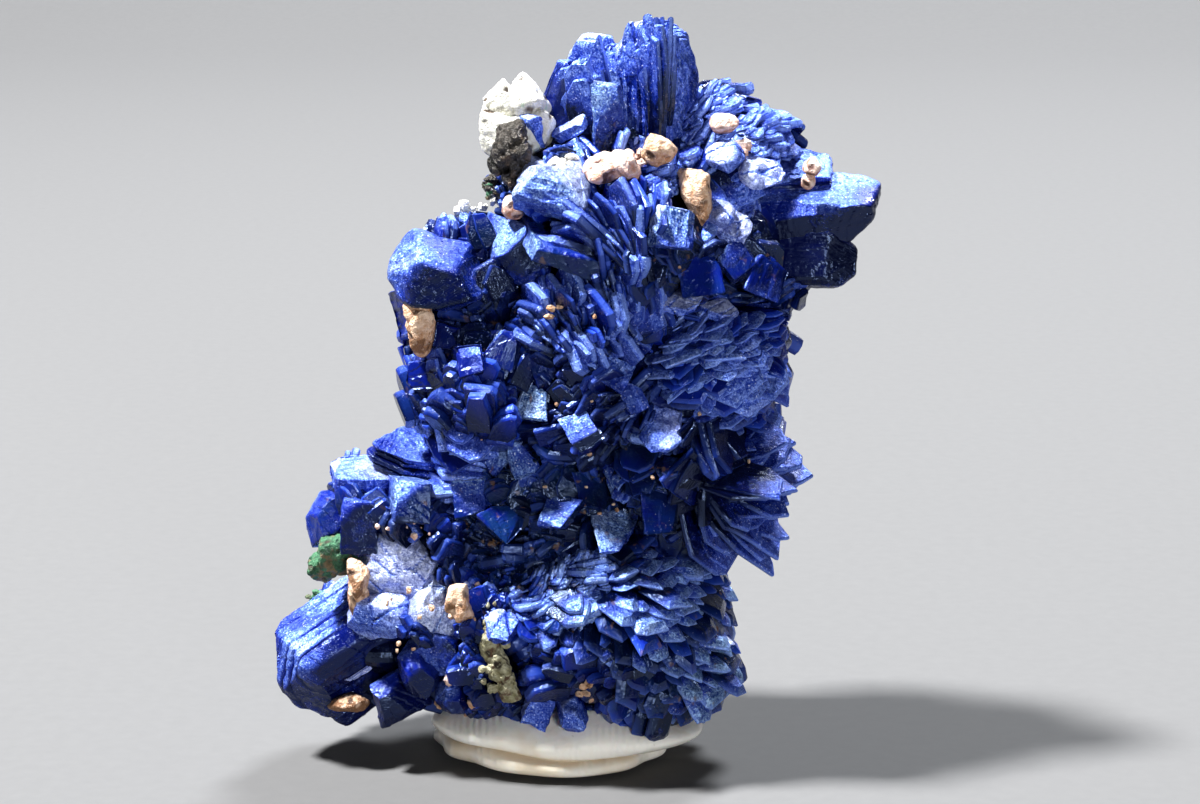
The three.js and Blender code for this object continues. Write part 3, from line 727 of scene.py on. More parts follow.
# %% Making one
def great_crystal(row, number):
    """Points, faces and finish numbers of one great crystal.

    A point of the cube is drawn in by the share of the first plane it would cross, and the
    shares are added at a high power. Then its height over that shape is the sum of grooves
    between leaves, ridges along the growth, terraces, crust and cracks."""
    root, out, face, width, thick, length, form, leaves, frost, green, flakes = row
    draw = np.random.default_rng(500 + number)
    half = np.array([width, length, thick]) / 2
    steps = FINE_STEPS * half.max() if leaves or flakes else PLAIN_STEPS * half.max() + 6
    cube, faces = cube_grid(int(np.clip(steps, FEWEST_STEPS, MOST_STEPS)))
    planes = np.array([(*side, 1.0) for side in np.concatenate([np.eye(3), -np.eye(3)])])
    planes = np.concatenate([planes, np.array(FORMS[form])])
    uneven = 0.12 if thick < PLATE else 0.04
    normals = planes[:, :3] / planes[:, 3:] + draw.normal(0, uneven, (len(planes), 3))
    share = np.maximum(cube @ normals.T, 0) ** EDGE_POWER
    local = cube / share.sum(1, keepdims=True) ** (1 / EDGE_POWER) * half
    way = outward(local, faces)
    ridge = np.abs(waves(local * [1.0, 0.12, 1.0], 5.0, number + 900)) ** 0.6
    terrace = np.floor(2.4 * waves(local, 0.9, number + 700))
    crust = 0.6 * waves(local, 9.0, number + 800, 9) + waves(local, 4.5, number + 810)
    patch = 1.3 * frost + 0.5 * waves(local, 1.0, number + 600)
    height = CRUST * crust * (0.3 + np.clip(patch, 0, 1)) - RIDGE * ridge + TERRACE * terrace
    height = height + LUMP * min(frost, 1) * waves(local, 1.5, number + 820, 7)
    if leaves:
        drift = 0.03 * waves(local * [0.5, 0.2, 0.6], 1.6, number + 40)
        phase = (local[:, 2] / thick + 0.5 + drift) * leaves
        leaf = np.clip(np.floor(phase).astype(int), 0, leaves - 1)
        stands = draw.uniform(-1, 1, leaves)[leaf]
        groove = np.exp(-(((phase - np.round(phase)) / 0.13) ** 2))
        groove = groove * np.clip(0.6 + waves(local * [1.0, 0.3, 1.0], 1.5, number + 41), 0, 1.2)
        side = 1 - way[:, 2] ** 4
        height = height + side * (LEAF_STEP * stands - LEAF_GROOVE * groove)
        patch = patch - 0.5 * groove
    if flakes:
        seeds = draw.uniform(-1, 1, (flakes, 3)) * half
        gap = np.sort(np.linalg.norm(local[:, None] - seeds, axis=2), axis=1)
        crack = np.exp(-(((gap[:, 1] - gap[:, 0]) / 0.06) ** 2))
        height = height - CRACK * crack
        patch = patch - 0.9 * crack
    local = local + way * height[:, None]
    out = unit(np.array(out, float))
    across = unit(np.cross(out, np.array(face, float)))
    three_ways = np.stack([across, out, np.cross(across, out)])
    points = np.array(root) + (local + [0, length / 2, 0]) @ three_ways
    # lit says how far a point looks to the key lamp: painted light in the tone, and partly painted
    # sheen in the frost.
    lit = np.clip(way @ three_ways @ LIGHT_WAY, 0, 1)
    own = np.full(len(points), draw.uniform(0, 50))
    return points, faces, {
        "sheet": np.stack([local[:, 0] + local[:, 2], local[:, 1], own], axis=-1),
        "rim": np.zeros(len(points)),
        "tone": np.clip(draw.uniform(0.2, 0.6) + 0.7 * (lit - 0.35), 0, 1),
        "frost": np.clip(patch + 0.9 * lit**2, 0, 1.8),
        "green": np.full(len(points), float(green)),
    }


def gathered_blocks(name, blocks, material, smooth=False):
    """One mesh object of several closed blocks of four-sided faces."""
    start = np.cumsum([0] + [len(points) for points, _, _ in blocks])
    points = np.concatenate([points for points, _, _ in blocks])
    faces = np.concatenate([faces + n for (_, faces, _), n in zip(blocks, start[:-1], strict=True)])
    finish = {key: np.concatenate([more[key] for _, _, more in blocks]) for key in blocks[0][2]}
    return new_mesh(name, points + STEP, faces, material, smooth, **finish)


# %% [markdown]
# ## Down to the skin of the heap
#
# An open plate or a crumb is given by where it appears, without a depth. The depth could be found
# by casting a ray at a finished mesh. But the swellings are known as formulas, so it is enough to
# walk along the sight line and to stop at the first place that lies inside one of them.


# %% Where a sight line meets the heap
def on_skin(across, up, step):
    """The foremost table point of the heap's skin on each sight line, or the line's nearest point
    to the skin where it misses, looked for step by step. Also how deep in the heap it gets."""
    depths = np.arange(-11.0, 6.0, step)
    lines = np.array([[placed(*place, depth) for depth in depths] for place in zip(across, up)])
    inner = deepest(lines.reshape(-1, 3)).reshape(lines.shape[:2])
    first = np.where((inner > 0).any(1), (inner > 0).argmax(1), inner.argmax(1))
    return lines[np.arange(len(lines)), first], inner.max(1)


def open_row(across, up, width, length, angle, rise, turn, form, frost, green):
    """The row of a great crystal that lies open at a place as seen, on the skin of the heap. Its
    face looks at the eye, then is turned up by rise and to the right by turn."""
    spot = on_skin([across], [up], 0.25)[0][0] + PROUD * TO_EYE
    rise, turn, angle = np.radians([rise, turn, angle])
    face = TO_EYE + np.tan(rise) * view_up + np.tan(turn) * view_right
    growth = np.cos(angle) * view_right + np.sin(angle) * view_up
    face = unit(face)
    growth = unit(growth - (growth @ face) * face)
    root = spot - growth * length / 2
    flakes = COIN_FLAKES if form == "coin" else 0
    return root, growth, face, width, PLATE_THICK, length, form, 0, frost, green, flakes


GREAT_ROWS = GREAT + [open_row(*row) for row in OPEN_PLATES]
great = [great_crystal(row, k) for k, row in enumerate(GREAT_ROWS)]
print("great crystals:", len(great), "points each:", [len(made[0]) for made in great])

# %% [markdown]
# ## The fields of small crystals
#
# Small crystals cover the whole heap. In one field they all stand edge to edge like the pages of
# an open book, and the pages turn round a hub, so they look parallel when the hub is far off.
# In the next field the pages follow another hub. Each field has a site, and a seat on the skin
# belongs to the field whose site is nearest, measured against the field's reach.
#
# `lean` says how far the pages are laid over, so that their broad faces show, and `splay` how far
# they grow away from the hub instead of straight out.

# %% Fields
# The sizes of crystals that fill a field one after another, as shares of the first
FINE, ALIKE = (1.0, 0.62, 0.42), (1.0,)
FIELD = {
    # What a field has unless its own row says otherwise. stray turns the pages by chance, wander,
    # in degrees, by slow waves, and rise lifts them. copies is how many smaller crystals stick to
    # each, chisel how wide its sharpened edge is, and side its rim's thickness as a share.
    "splay": 0.2, "green": 0.0, "stray": 0.12, "wander": 20, "tone": 0.4, "rise": 0.1,
    "generations": (1.0, 0.62), "copies": 1, "chisel": 0.10, "side": 0.45,
}
FIELD_COLUMNS = ("site", "reach", "hub", "size", "apart", "lean", "frost", "tone")
FIELD_ROWS = {
    # the columns above, places as seen and lengths in millimetres, then what else the field has
    "shoulder": ((12.0, 43.5), 5, (2, 31), (1.9, 0.35, 2.4), 1.0, 0.9, 0.6, 0.7,
                 {"rise": -0.6, "generations": FINE}),
    "shoulder_front": ((10.5, 39.8), 3.4, (2, 31), (2.4, 0.4, 2.6), 1.15, 1.3, 0.5, 0.6, {}),
    "crown": ((3.0, 44.0), 3, (3, 30), (2.3, 0.45, 2.8), 1.25, 0.4, 0.45, 0.4, {}),
    "neck": ((-3.5, 39.5), 3, (8, 50), (1.7, 0.6, 2.0), 1.25, 1.4, 0.35, 0.4, {"green": 0.5}),
    "fan": ((2.6, 37.4), 3.6, (4.8, 32.8), (3.2, 0.36, 4.2), 1.2, 0.35, 0.1, 0.5,
            {"splay": 1.3, "wander": 8}),
    "ledge": ((6.2, 40.6), 2.0, (-9, 34), (1.5, 0.5, 2.0), 1.0, 1.2, 0.6, 0.4, {}),
    "plates": ((11.5, 33.4), 3.4, (24, 40), (2.3, 0.6, 2.6), 1.4, 2.2, 0.15, 0.5, {}),
    "thin_rows": ((8.6, 31.6), 2.2, (-20, 34), (1.7, 0.28, 2.0), 0.85, 0.8, 0.3, 0.2,
                  {"generations": FINE}),
    "mid_plates": ((6.0, 34.6), 2.2, (0, 45), (2.4, 0.5, 2.6), 1.25, 1.8, 0.3, 0.4, {"green": 0.3}),
    "lavender": ((1.4, 31.2), 4.4, (8, 20), (2.6, 0.5, 3.0), 1.25, 0.9, 0.35, 0.5, {"wander": 12}),
    "under_block": ((-7.6, 30.6), 4, (6, 36), (2.0, 0.6, 2.2), 1.3, 2.0, 0.05, 0.15, {"green": 0.3}),
    "right_sheaf": ((10.2, 27.4), 4.4, (-8, 21), (2.9, 0.4, 3.2), 1.1, 1.0, 0.35, 0.8,
                    {"wander": 7, "chisel": 0.3, "side": 0.25, "stray": 0.14}),
    "right_edge": ((15.0, 29.0), 2.4, (10, 20), (2.8, 0.9, 3.0), 1.5, 1.6, 0.15, 0.6, {}),
    "shingles": ((-7.4, 26.2), 4.4, (30, 22), (2.0, 0.7, 2.7), 1.35, 2.3, 0.02, 0.7, {"wander": 14}),
    "heart": ((0.6, 25.4), 4.2, (8, 34), (2.4, 0.5, 2.8), 1.3, 1.3, 0.05, 0.25, {"stray": 0.25}),
    "dark_heart": ((4.6, 20.4), 3.0, (-10, 24), (2.2, 0.5, 2.2), 1.5, 1.2, 0.0, 0.1, {"green": 0.3}),
    "long_rows": ((-8.4, 21.4), 3.2, (-40, 17), (3.2, 0.4, 2.8), 1.1, 0.8, 0.35, 0.4, {"wander": 6}),
    "hollow": ((-3.0, 17.4), 5.2, (10, 30), (2.0, 0.6, 2.2), 1.25, 2.0, 0.15, 0.3,
               {"green": 0.9, "stray": 0.45, "wander": 60, "generations": FINE}),
    "book_foot": ((9.0, 20.0), 4.4, (6.6, 23.4), (2.6, 0.5, 3.0), 1.9, 0.9, 0.0, 0.1,
                  {"splay": 1.2, "generations": ALIKE, "rise": -0.6}),
    "fine_rows": ((-0.6, 12.4), 3.4, (-12, 8), (1.7, 0.4, 2.0), 0.95, 1.1, 0.45, 0.4,
                  {"green": 0.5, "stray": 0.25, "wander": 40, "generations": FINE}),
    "dahlia": ((6.4, 9.6), 6.0, (-4.5, 13.5), (2.3, 0.65, 2.9), 1.15, 0.9, 0.4, 0.3,
               {"splay": 0.3, "green": 0.6, "stray": 0.09, "wander": 6, "generations": ALIKE,
                "copies": 0, "chisel": 0.5, "side": 0.15}),
    "bottom": ((0.4, 5.4), 3.2, (12, 30), (1.9, 0.9, 2.4), 1.4, 1.6, 0.25, 0.7, {"stray": 0.2}),
    "toe": ((-6.4, 8.4), 4.0, (10, 30), (1.7, 0.8, 2.0), 1.15, 1.6, 0.35, 0.6,
            {"stray": 0.35, "wander": 50, "generations": FINE}),
    "elbow": ((-10.4, 15.0), 4.2, (4, 34), (2.0, 0.7, 2.3), 1.3, 1.6, 0.2, 0.4, {"green": 0.4}),
    "foot": ((-15.0, 9.0), 4.0, (-8, 0), (2.6, 0.9, 2.6), 1.5, 1.2, 0.25, 0.4, {}),
}
FIELDS = {
    name: {**FIELD, **dict(zip(FIELD_COLUMNS, row, strict=False)), **row[-1]}
    for name, row in FIELD_ROWS.items()
}
print("fields:", len(FIELDS))


# %% [markdown]
# ## Leaving room
#
# A small crystal in front of a stone or a great crystal would hide it. It could be cut away with a
# boolean, but that leaves cut faces, which no real crystal has. So a crystal that would be in the
# way is not made at all: each stone and great crystal keeps an oval free, as seen, and nothing
# may stand in it further forward than the thing itself.

# %% Room for the stones
STONES = sorted(set(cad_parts) - {"azurite_cluster", "putty_base"})


def stone_room(name):
    """Middle and half sizes of a stone's solid node, in table millimetres, with a margin."""
    low, high = node_box(name)
    return (low + high) / 2 - STEP, (high - low) / 2 + 0.3


def block_room(row):
    """Middle and most of the half sizes of a great crystal's box."""
    root, out, face, width, thick, length, *_ = row
    out = unit(np.array(out, float))
    across = unit(np.cross(out, np.array(face, float)))
    half = np.array([width, length, thick]) / 2
    extent = np.abs(np.stack([across, out, np.cross(across, out)])).T @ half
    return np.array(root) + out * length / 2, 0.7 * extent


ROOMS = [stone_room(name) for name in STONES] + [block_room(row) for row in GREAT_ROWS]


def in_the_way(points):
    """Whether each point hides a stone or a great crystal: as seen it lies over the thing, and
    it is not behind it."""
    view = seen(points)
    hides = np.zeros(len(points), bool)
    for centre, half in ROOMS:
        off = (view - seen(centre[None])) / half[[0, 2]]
        hides |= (np.linalg.norm(off, axis=1) < 1) & (points[:, 1] < centre[1] + half[1])
    return hides


print("rooms kept free:", len(ROOMS))


# %% Seats of a field
SITES = np.array([row["site"] for row in FIELDS.values()])
REACHES = np.array([row["reach"] for row in FIELDS.values()])


def field_of(points):
    """The number of the field that each table point belongs to."""
    apart = np.linalg.norm(seen(points)[:, None] - SITES, axis=2) / REACHES
    return np.argmin(apart, axis=1)


# %% [markdown]
# ## Setting crystals on their seats
#
# A seat gives a crystal its place and the outward way, and its field says which way the broad
# face looks. Then the crystal is laid over by the field's lean, turned by slow waves, so that
# neighbours stay alike, and by chance, so that no two are the same. How pale it is follows from
# its field and from the waves, and, as painted light, from how far its face looks up to the
# light. Crystals that sit deeper, and every crystal near its root, are painted darker, as the
# shade between them.


# %% Crystals on seats
def turned(v, axis, angle):
    """v turned about axis by angle: its part across the axis moves round by cosine and sine."""
    c, s = np.cos(angle)[..., None], np.sin(angle)[..., None]
    along = (v * axis).sum(-1, keepdims=True) * axis
    return along + (v - along) * c + np.cross(axis, v) * s


SUNK = 0.3  # how much deeper than its seat a crystal's middle lies
FRONT = -0.15  # a seat looks to the front if its way is turned no further from the eye than this
JITTER = 0.2  # how far seats stray, as a share of the distance between them
# The way to the key lamp: small faces that look there are painted paler, and get more frost, partly
# crust and partly painted sheen.
CRYSTAL_LIGHT = unit(np.array([-0.5, -0.2, 0.85]))  # small faces that look there are paler


def standing(seats, ways, face, row, draw, number, scale=1.0):
    """Crystals on seats: each is laid over by `lean` from standing straight out, and varied."""
    face = face - (face * ways).sum(1, keepdims=True) * ways
    face = turned(unit(face), ways, np.radians(row["wander"]) * waves(seats, 0.8, number))
    count = len(seats)
    lean = row["lean"] * (1 + 0.3 * waves(seats, 0.9, number + 7) + draw.normal(0, 0.12, count))
    out = unit(ways - lean[:, None] * face)
    face = unit(face + lean[:, None] * ways + draw.normal(0, row["stray"], ways.shape))
    out = unit(out + draw.normal(0, row["stray"] * 0.7, out.shape))
    grown = draw.uniform(0.7, 1.3, (count, 1))
    size = np.array(row["size"]) * scale * grown * draw.uniform(0.85, 1.2, (count, 3))
    raised = row["rise"] + 0.35 * waves(seats, 1.1, number + 3) + draw.normal(0, 0.2, count)
    root = seats + out * (raised[:, None] - SUNK - size[:, 2:] * 0.55)
    # Painted light and shade: faces that look to the lamp get more frost and a lighter tone, crystals
    # that sit deeper a darker tone.
    lit = np.clip(face @ CRYSTAL_LIGHT, 0, 1)
    share = row["frost"] + 0.35 * waves(seats, 0.7, number) + 0.9 * (lit - 0.5)
    crusted = draw.random(count) < share + 0.15
    frost = np.where(crusted, draw.uniform(0.2, 0.85, count) + 0.6 * share, 0.0)
    green = row["green"] + 0.3 * waves(seats, 0.5, number + 50)
    tone = row["tone"] + 0.5 * (raised - row["rise"]) + 0.5 * (lit - 0.4)
    tone = tone + draw.normal(0, 0.25, count)
    free = ~(in_the_way(root + out * size[:, 2:]) | in_the_way(root + out * size[:, 2:] * 0.6))
    root, out, face, size, frost, green, tone = (
        part[free] for part in (root, out, face, size, frost, green, tone)
    )
    copies = row["copies"]
    made = stepped(root, out, face, size, draw, copies, chisel=row["chisel"], side=row["side"])
    frost, green, tone = (np.tile(part, copies + 1) for part in (frost, green, tone))
    made["frost"] += np.clip(frost, 0, 1)[:, None] * made["stand"]
    made["green"] += np.clip(green, 0, 1)[:, None]
    tone = made["tone"] * 0.3 + np.clip(tone, 0, 1)[:, None] * 0.7
    # The tone falls towards the root: painted shade between the crystals.
    made["tone"] = tone * (0.15 + 0.85 * made["stand"])
    return made


# %% Field by field
def field(name, number):
    """The small crystals of one field on the side that the eye sees: large ones first, then in
    each generation smaller ones, closer together."""
    row = FIELDS[name]
    draw = np.random.default_rng(200 + number)
    groups = []
    for scale in row["generations"]:
        apart = row["apart"] * scale**0.6
        seats, ways = skin_seats(apart, number + scale)
        seats = seats + draw.normal(0, JITTER * apart, seats.shape)
        mine = (ways @ TO_EYE > FRONT) & (field_of(seats) == number)
        seats, ways = seats[mine], ways[mine]
        from_hub = seen(seats) - row["hub"]
        radial = unit(np.stack([from_hub[:, 0], 0 * from_hub[:, 0], from_hub[:, 1]], axis=-1))
        face = np.stack([-radial[:, 2], radial[:, 1], radial[:, 0]], axis=-1)
        face = face + 0.3 * TO_EYE
        ways = unit(ways + row["splay"] * radial)
        groups.append(standing(seats, ways, face, row, draw, number, scale))
    return {key: np.concatenate([g[key] for g in groups]) for key in groups[0]}


def back_field(number):
    """The small crystals behind. The way that their faces look wanders over the heap."""
    row = {**FIELD, "size": (2.5, 0.6, 2.8), "apart": 1.4, "lean": 1.2, "frost": 0.25}
    draw = np.random.default_rng(200 + number)
    seats, ways = skin_seats(row["apart"], float(number))
    seats = seats + draw.normal(0, JITTER * row["apart"], seats.shape)
    behind = ways @ TO_EYE <= FRONT
    seats, ways = seats[behind], ways[behind]
    face = np.stack([waves(seats, 0.35, number + k) for k in range(3)], axis=-1)
    return standing(seats, ways, face, row, draw, number)


fields = {name: field(name, k) for k, name in enumerate(FIELDS)}
fields["back"] = back_field(len(FIELDS))
print({name: len(made["points"]) for name, made in fields.items()})

# %% [markdown]
# ## The fans
#
# In the open book on the right, before the two peaks and under the nugget, long pages stand so
# far apart that each can be followed from its hinge to its tip, with black gaps between. These
# are laid out one by one: the angle goes from the first page to the last in even steps, with a
# little chance.

# %% Fans
FANS = {
    # hinge across, up and depth; first and last angle; pages; width, thickness, length; turn,
    # frost, and how much shorter the first page is than the last
    "open_book": ((7.4, 21.9), -3.6, (8, -74), 13, (6.0, 0.42, 9.4), 30, 0.5, 0.22),
    "book_front": ((8.2, 20.8), -5.2, (-12, -70), 6, (4.0, 0.4, 6.2), 34, 0.5, 0),
    "left_peak": ((1.3, 41.2), -0.9, (106, 86), 11, (2.5, 0.6, 6.6), 62, 0.8, 0.2),
    "right_peak": ((5.6, 41.0), -1.2, (97, 85), 9, (2.0, 0.5, 8.6), 35, 0.6, 0),
    "upper_fan": ((4.4, 33.2), -5.6, (104, 158), 9, (4.6, 0.6, 6.0), 24, 0.4, 0),
}


def fan(name, number):
    """Pages of one fan. A page at angle a grows along (cos a, sin a) as seen, its face looks a
    quarter turn on from that, and is turned towards the eye by `turn`."""
    (across, up), depth, angles, pages, size, turn, frost, short = FANS[name]
    draw = np.random.default_rng(300 + number)
    angle = np.radians(np.linspace(*angles, pages) + draw.normal(0, 1.5, pages))
    zero = np.zeros(pages)
    out = np.stack([np.cos(angle), zero - 0.12, np.sin(angle)], axis=-1)
    face = np.stack([-np.sin(angle), zero, np.cos(angle)], axis=-1)
    turn = np.radians(turn + draw.normal(0, 5, pages))[:, None]
    face = np.cos(turn) * face + np.sin(turn) * TO_EYE
    hinge = placed(across, up, depth) + out * 0.6
    hinge[:, 1] += draw.normal(0, 0.5, pages)
    sizes = np.array(size) * draw.uniform([0.8, 0.8, 0.82], [1.1, 1.3, 1.08], (pages, 3))
    sizes[:, 2] *= np.linspace(1 - short, 1, pages)
    made = stepped(hinge, out, face, sizes, draw, copies=2, pointed=(0.3, 0.9), uneven=0.06)
    made["frost"] += frost * made["stand"] ** 2
    # Painted shade: the tone is darker overall and falls to nought at the hinge, deep in the gaps
    # between pages.
    made["tone"] *= 0.45 * made["stand"]
    return made


fans = [fan(name, k) for k, name in enumerate(FANS)]
print("pages in fans:", [len(made["points"]) for made in fans])

# %% [markdown]
# ## The azurite's finish
#
# Azurite is glassy. A face is nearly black-blue when it looks away from the light, and it flashes
# white when it mirrors a lamp. Thin edges let light through and look brighter and purer blue; here
# this is a painted glow on the rims, and white glints are painted in tiny specks. Many faces carry
# a frost of tiny crystals: there the gloss is gone and the colour is a pale lavender. Fine lines
# run along each crystal's growth. Some rust and a green tinge sit in the hollows. All this could be
# painted on, but there are thousands of crystals. So each crystal brings its own tone, frost and
# green as numbers on its points, and the finish starts from the dark blue and mixes in one thing
# after another as these numbers say. The tone also carries painted light and shade: lighter where
# a face looks to the lamp, darkest at the roots and in the depths. The frost carries some painted
# sheen there too.


# %% Azurite
def azurite_finish():
    """Dark blue by tone, then brighter blue and pale frost where the crust number is high, a
    painted glow on the rims and painted white glints.
    """
    paint = Paint("azurite", IOR=1.6, Specular_Tint=(0.42, 0.58, 1.0, 1.0))
    tone = paint.attribute("tone")
    rim = paint.attribute("rim")
    frost = paint.attribute("frost")
    green = paint.attribute("green")
    sheet = paint.attribute("sheet", output=1)
    grain = paint.noise(8000.0, 3.0, 0.6)
    middle = paint.noise(3000.0, 3.0, 0.6)
    blotch = paint.noise(900.0, 3.0)
    # The tone carries painted shade: near nought it gives the near black of the roots and the depths.
    deep = paint.mix(tone**1.6, (0.0003, 0.0008, 0.010), (0.003, 0.014, 0.30))
    sea = paint.mix(tone, (0.0004, 0.0025, 0.010), (0.004, 0.028, 0.11))
    blue = paint.mix(green * blotch.ramp(0.35, 0.6), deep, sea)
    # Painted glow: thin rims lighter and purer blue, as if light came through them.
    blue = paint.mix(rim * tone * 0.6, blue, (0.02, 0.08, 0.60))
    crust = frost + middle * 0.5 + grain * 0.5 + blotch * 0.7
    royal = crust.ramp(1.08, 1.5)
    blue = paint.mix(royal, blue, (0.0025, 0.020, 0.30))
    frosted = crust.ramp(1.35, 1.85)
    speck = (grain * 0.7 + middle * 0.5).ramp(0.5, 0.72)
    pale = paint.mix(speck, (0.006, 0.038, 0.38), (0.22, 0.35, 0.94))
    pale = paint.mix(green * 0.9, pale, paint.mix(speck, (0.006, 0.04, 0.13), (0.32, 0.50, 0.66)))
    pale = paint.mix(frost.ramp(1.1, 1.8) * (speck * 0.6 + 0.3), pale, (0.64, 0.70, 0.93))
    colour = paint.mix(frosted, blue, pale)
    # Painted highlight: a bright blue line along frosted rims.
    edge = rim**4 * frost.ramp(0.1, 0.9)
    colour = paint.mix(edge * 0.55, colour, (0.24, 0.38, 0.97))
    # Painted glints: tiny specks of near white.
    painted_glint = (grain + royal * 0.05).ramp(0.7, 0.74)
    colour = paint.mix(painted_glint * (royal * 0.7 + 0.2), colour, (0.85, 0.9, 1.0))
    rust = paint.noise(1100.0, 2.0).ramp(0.66, 0.72) * green
    colour = paint.mix(rust * 0.8, colour, (0.16, 0.09, 0.04))
    stretched = paint.node("Mapping", {}, sheet, Scale=(9.0, 0.8, 1.0))
    lines = paint.node("TexNoise", {}, Vector=stretched, Scale=1.0, Detail=2.0)
    coarse = paint.bump(lines * 0.6 + middle, 0.00006, 0.8)
    relief = paint.bump(grain * (royal * 0.9 + 0.2), 0.00008, 0.9, under=coarse)
    rough = tone * 0.1 + royal * 0.2 + lines * 0.1 + 0.1
    shine = royal * 0.25 + frosted * 0.3
    return paint.finish(Base_Color=colour, Roughness=rough, Metallic=shine, Normal=relief)


azurite = azurite_finish()
print("nodes in the azurite's finish:", len(azurite.node_tree.nodes))

# %% [markdown]
# ## The mass and the pieces
#
# Between the crystals one looks into the dark. The swellings themselves, drawn in a little, close
# the heap behind the crystals' roots. Then all that is blue is gathered into pieces of less than
# 200,000 triangles each. They all stand for one solid, the azurite.

# %% The dark mass, painted as the shade between the crystals
MASS_INSIDE = 1.5  # how far the dark mass lies inside the swellings' skin


def swelling_bodies():
    """The mass between the crystals, painted nearly black as the shade deep in the gaps: each
    swelling as a closed ball, drawn in a little.
    """
    cube, faces = cube_grid(12)
    directions = unit(cube)
    zero = np.zeros(len(cube))
    blocks = []
    for k, (centre, half) in enumerate(LOBES.values()):
        uneven = 1 + 0.05 * waves(directions * 3, 1.0, k)[:, None]
        points = np.array(centre) + directions * (np.array(half) - MASS_INSIDE) * uneven
        # Tone nought gives the darkest blue: painted shade.
        finish = {"sheet": points, "rim": zero, "tone": zero, "frost": zero, "green": zero}
        blocks.append((points, faces, finish))
    return gathered_blocks("azurite_mass", blocks, azurite)


# %% The azurite pieces
BANDS = {
    # a field belongs to the first band whose foot, in millimetres as seen, it stands above
    "azurite_top_fields": 34.0, "azurite_upper_fields": 26.5, "azurite_middle_fields": 15.5,
    "azurite_lower_fields": 0.0,
}


def band_of(name):
    """The piece that a field's crystals go into."""
    return next(band for band, foot in BANDS.items() if FIELDS[name]["site"][1] > foot)


GREAT_PIECES = {
    # which rows of great crystals make each piece
    "azurite_right_peak": slice(0, 1), "azurite_left_peaks": slice(1, 7),
    "azurite_upper_crystals": slice(7, 18), "azurite_lower_crystals": slice(18, len(GREAT)),
    "azurite_open_plates": slice(len(GREAT), None),
}
azurite_pieces = [
    *[gathered(band, [fields[name] for name in FIELDS if band_of(name) == band], azurite)
      for band in BANDS],
    gathered("azurite_back_fields", [fields["back"]], azurite),
    gathered("azurite_fans", fans, azurite),
    *[gathered_blocks(name, great[rows], azurite) for name, rows in GREAT_PIECES.items()],
    swelling_bodies(),
]
for piece in azurite_pieces:
    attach(piece, "root")
    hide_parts("azurite_cluster")

# %% [markdown]
# ## The stones between the crystals
#
# Fourteen grains of other minerals sit in the mass. Each stands in the place of its solid node
# and takes its size from it. A grain is one to four lumps. Each is a ball cut by uneven planes
# with worn edges, then pushed in and out by a few sizes of waves: wrinkles, fine grit, and pits
# where something has broken out. The finish mixes two colours of the mineral, a stain, and a dark
# colour in the pits.


# %% The shape of a stone
CUTS = 14  # planes that cut one lump


def lump(centre, half, seed, steps, power, wrinkle, grit, brown):
    """One broken lump: a ball cut by planes at uneven distances, whose shares are added at a low
    power so that the edges are worn, then wrinkled and gritty. Its points fill the box
    centre +- half. Also how deep each point lies in a wrinkle, and its height."""
    draw = np.random.default_rng(seed)
    cube, faces = cube_grid(steps)
    planes = unit(spread_ways(CUTS, seed) + draw.normal(0, 0.25, (CUTS, 3)))
    planes = planes / draw.uniform(0.72, 1.0, (CUTS, 1))
    share = np.maximum(unit(cube) @ planes.T, 0) ** power
    ball = unit(cube) / share.sum(1, keepdims=True) ** (1 / power)
    ball = ball / np.abs(ball).max(0)
    where = ball * half
    fold = waves(where * [1, 1, 0.5], 4.0, seed + 1)
    rough = waves(where, 7.0, seed + 2, 9) + 0.6 * waves(where, 15.0, seed + 3, 9)
    pit = np.clip(waves(where, 6.0, seed + 4, 7) * 1.5 - 0.7, 0, 1)
    height = grit * rough + wrinkle * (0.5 * fold - pit)
    points = centre + where + outward(where, faces) * height[:, None]
    # height is a point's height in its lump; the finish paints the top lighter with it, as light from
    # above.
    return points, faces, {"pit": pit, "height": ball[:, 2], "brown": np.full(len(points), brown)}


# %% [markdown]
# ## What the stones are made of
#
# Up close the minerals have the same pattern: two colours in patches, dark pits, and a stain that
# water has left. One function mixes them, with the top of each lump painted a little lighter, as
# light from above, and a table gives each mineral its own colours.


# %% The minerals
def mineral_finish(name, light, dark, stain, pit, stain_from=0.56, rough=0.6, **constants):
    """A stone's finish: two colours in patches, the top painted a little lighter as light from
    above, a stain, dark pits, grit as bump.
    """
    paint = Paint(name, **constants)
    height = paint.attribute("height")
    patch = paint.noise(1900.0, 4.0, 0.65)
    grain = paint.noise(5200.0, 3.0, 0.6)
    spot = paint.noise(1300.0, 3.0)
    # Painted light: the top of a lump is a little lighter, and the stain weaker there.
    colour = paint.mix((patch + height * 0.12 + grain * 0.3).ramp(0.5, 0.82), dark, light)
    stained = (spot + paint.attribute("brown") * 0.5 - height * 0.08).ramp(stain_from, stain_from + 0.1)
    colour = paint.mix(stained, colour, stain)
    colour = paint.mix(paint.attribute("pit") * 1.8, colour, pit)
    colour = paint.mix((grain - patch * 0.4).ramp(0.4, 0.5) * 0.6, colour, light)
    relief = paint.bump(grain * 0.8 + patch, 0.0004, 0.9)
    return paint.finish(Base_Color=colour, Roughness=grain * 0.4 + rough - 0.2, Normal=relief)


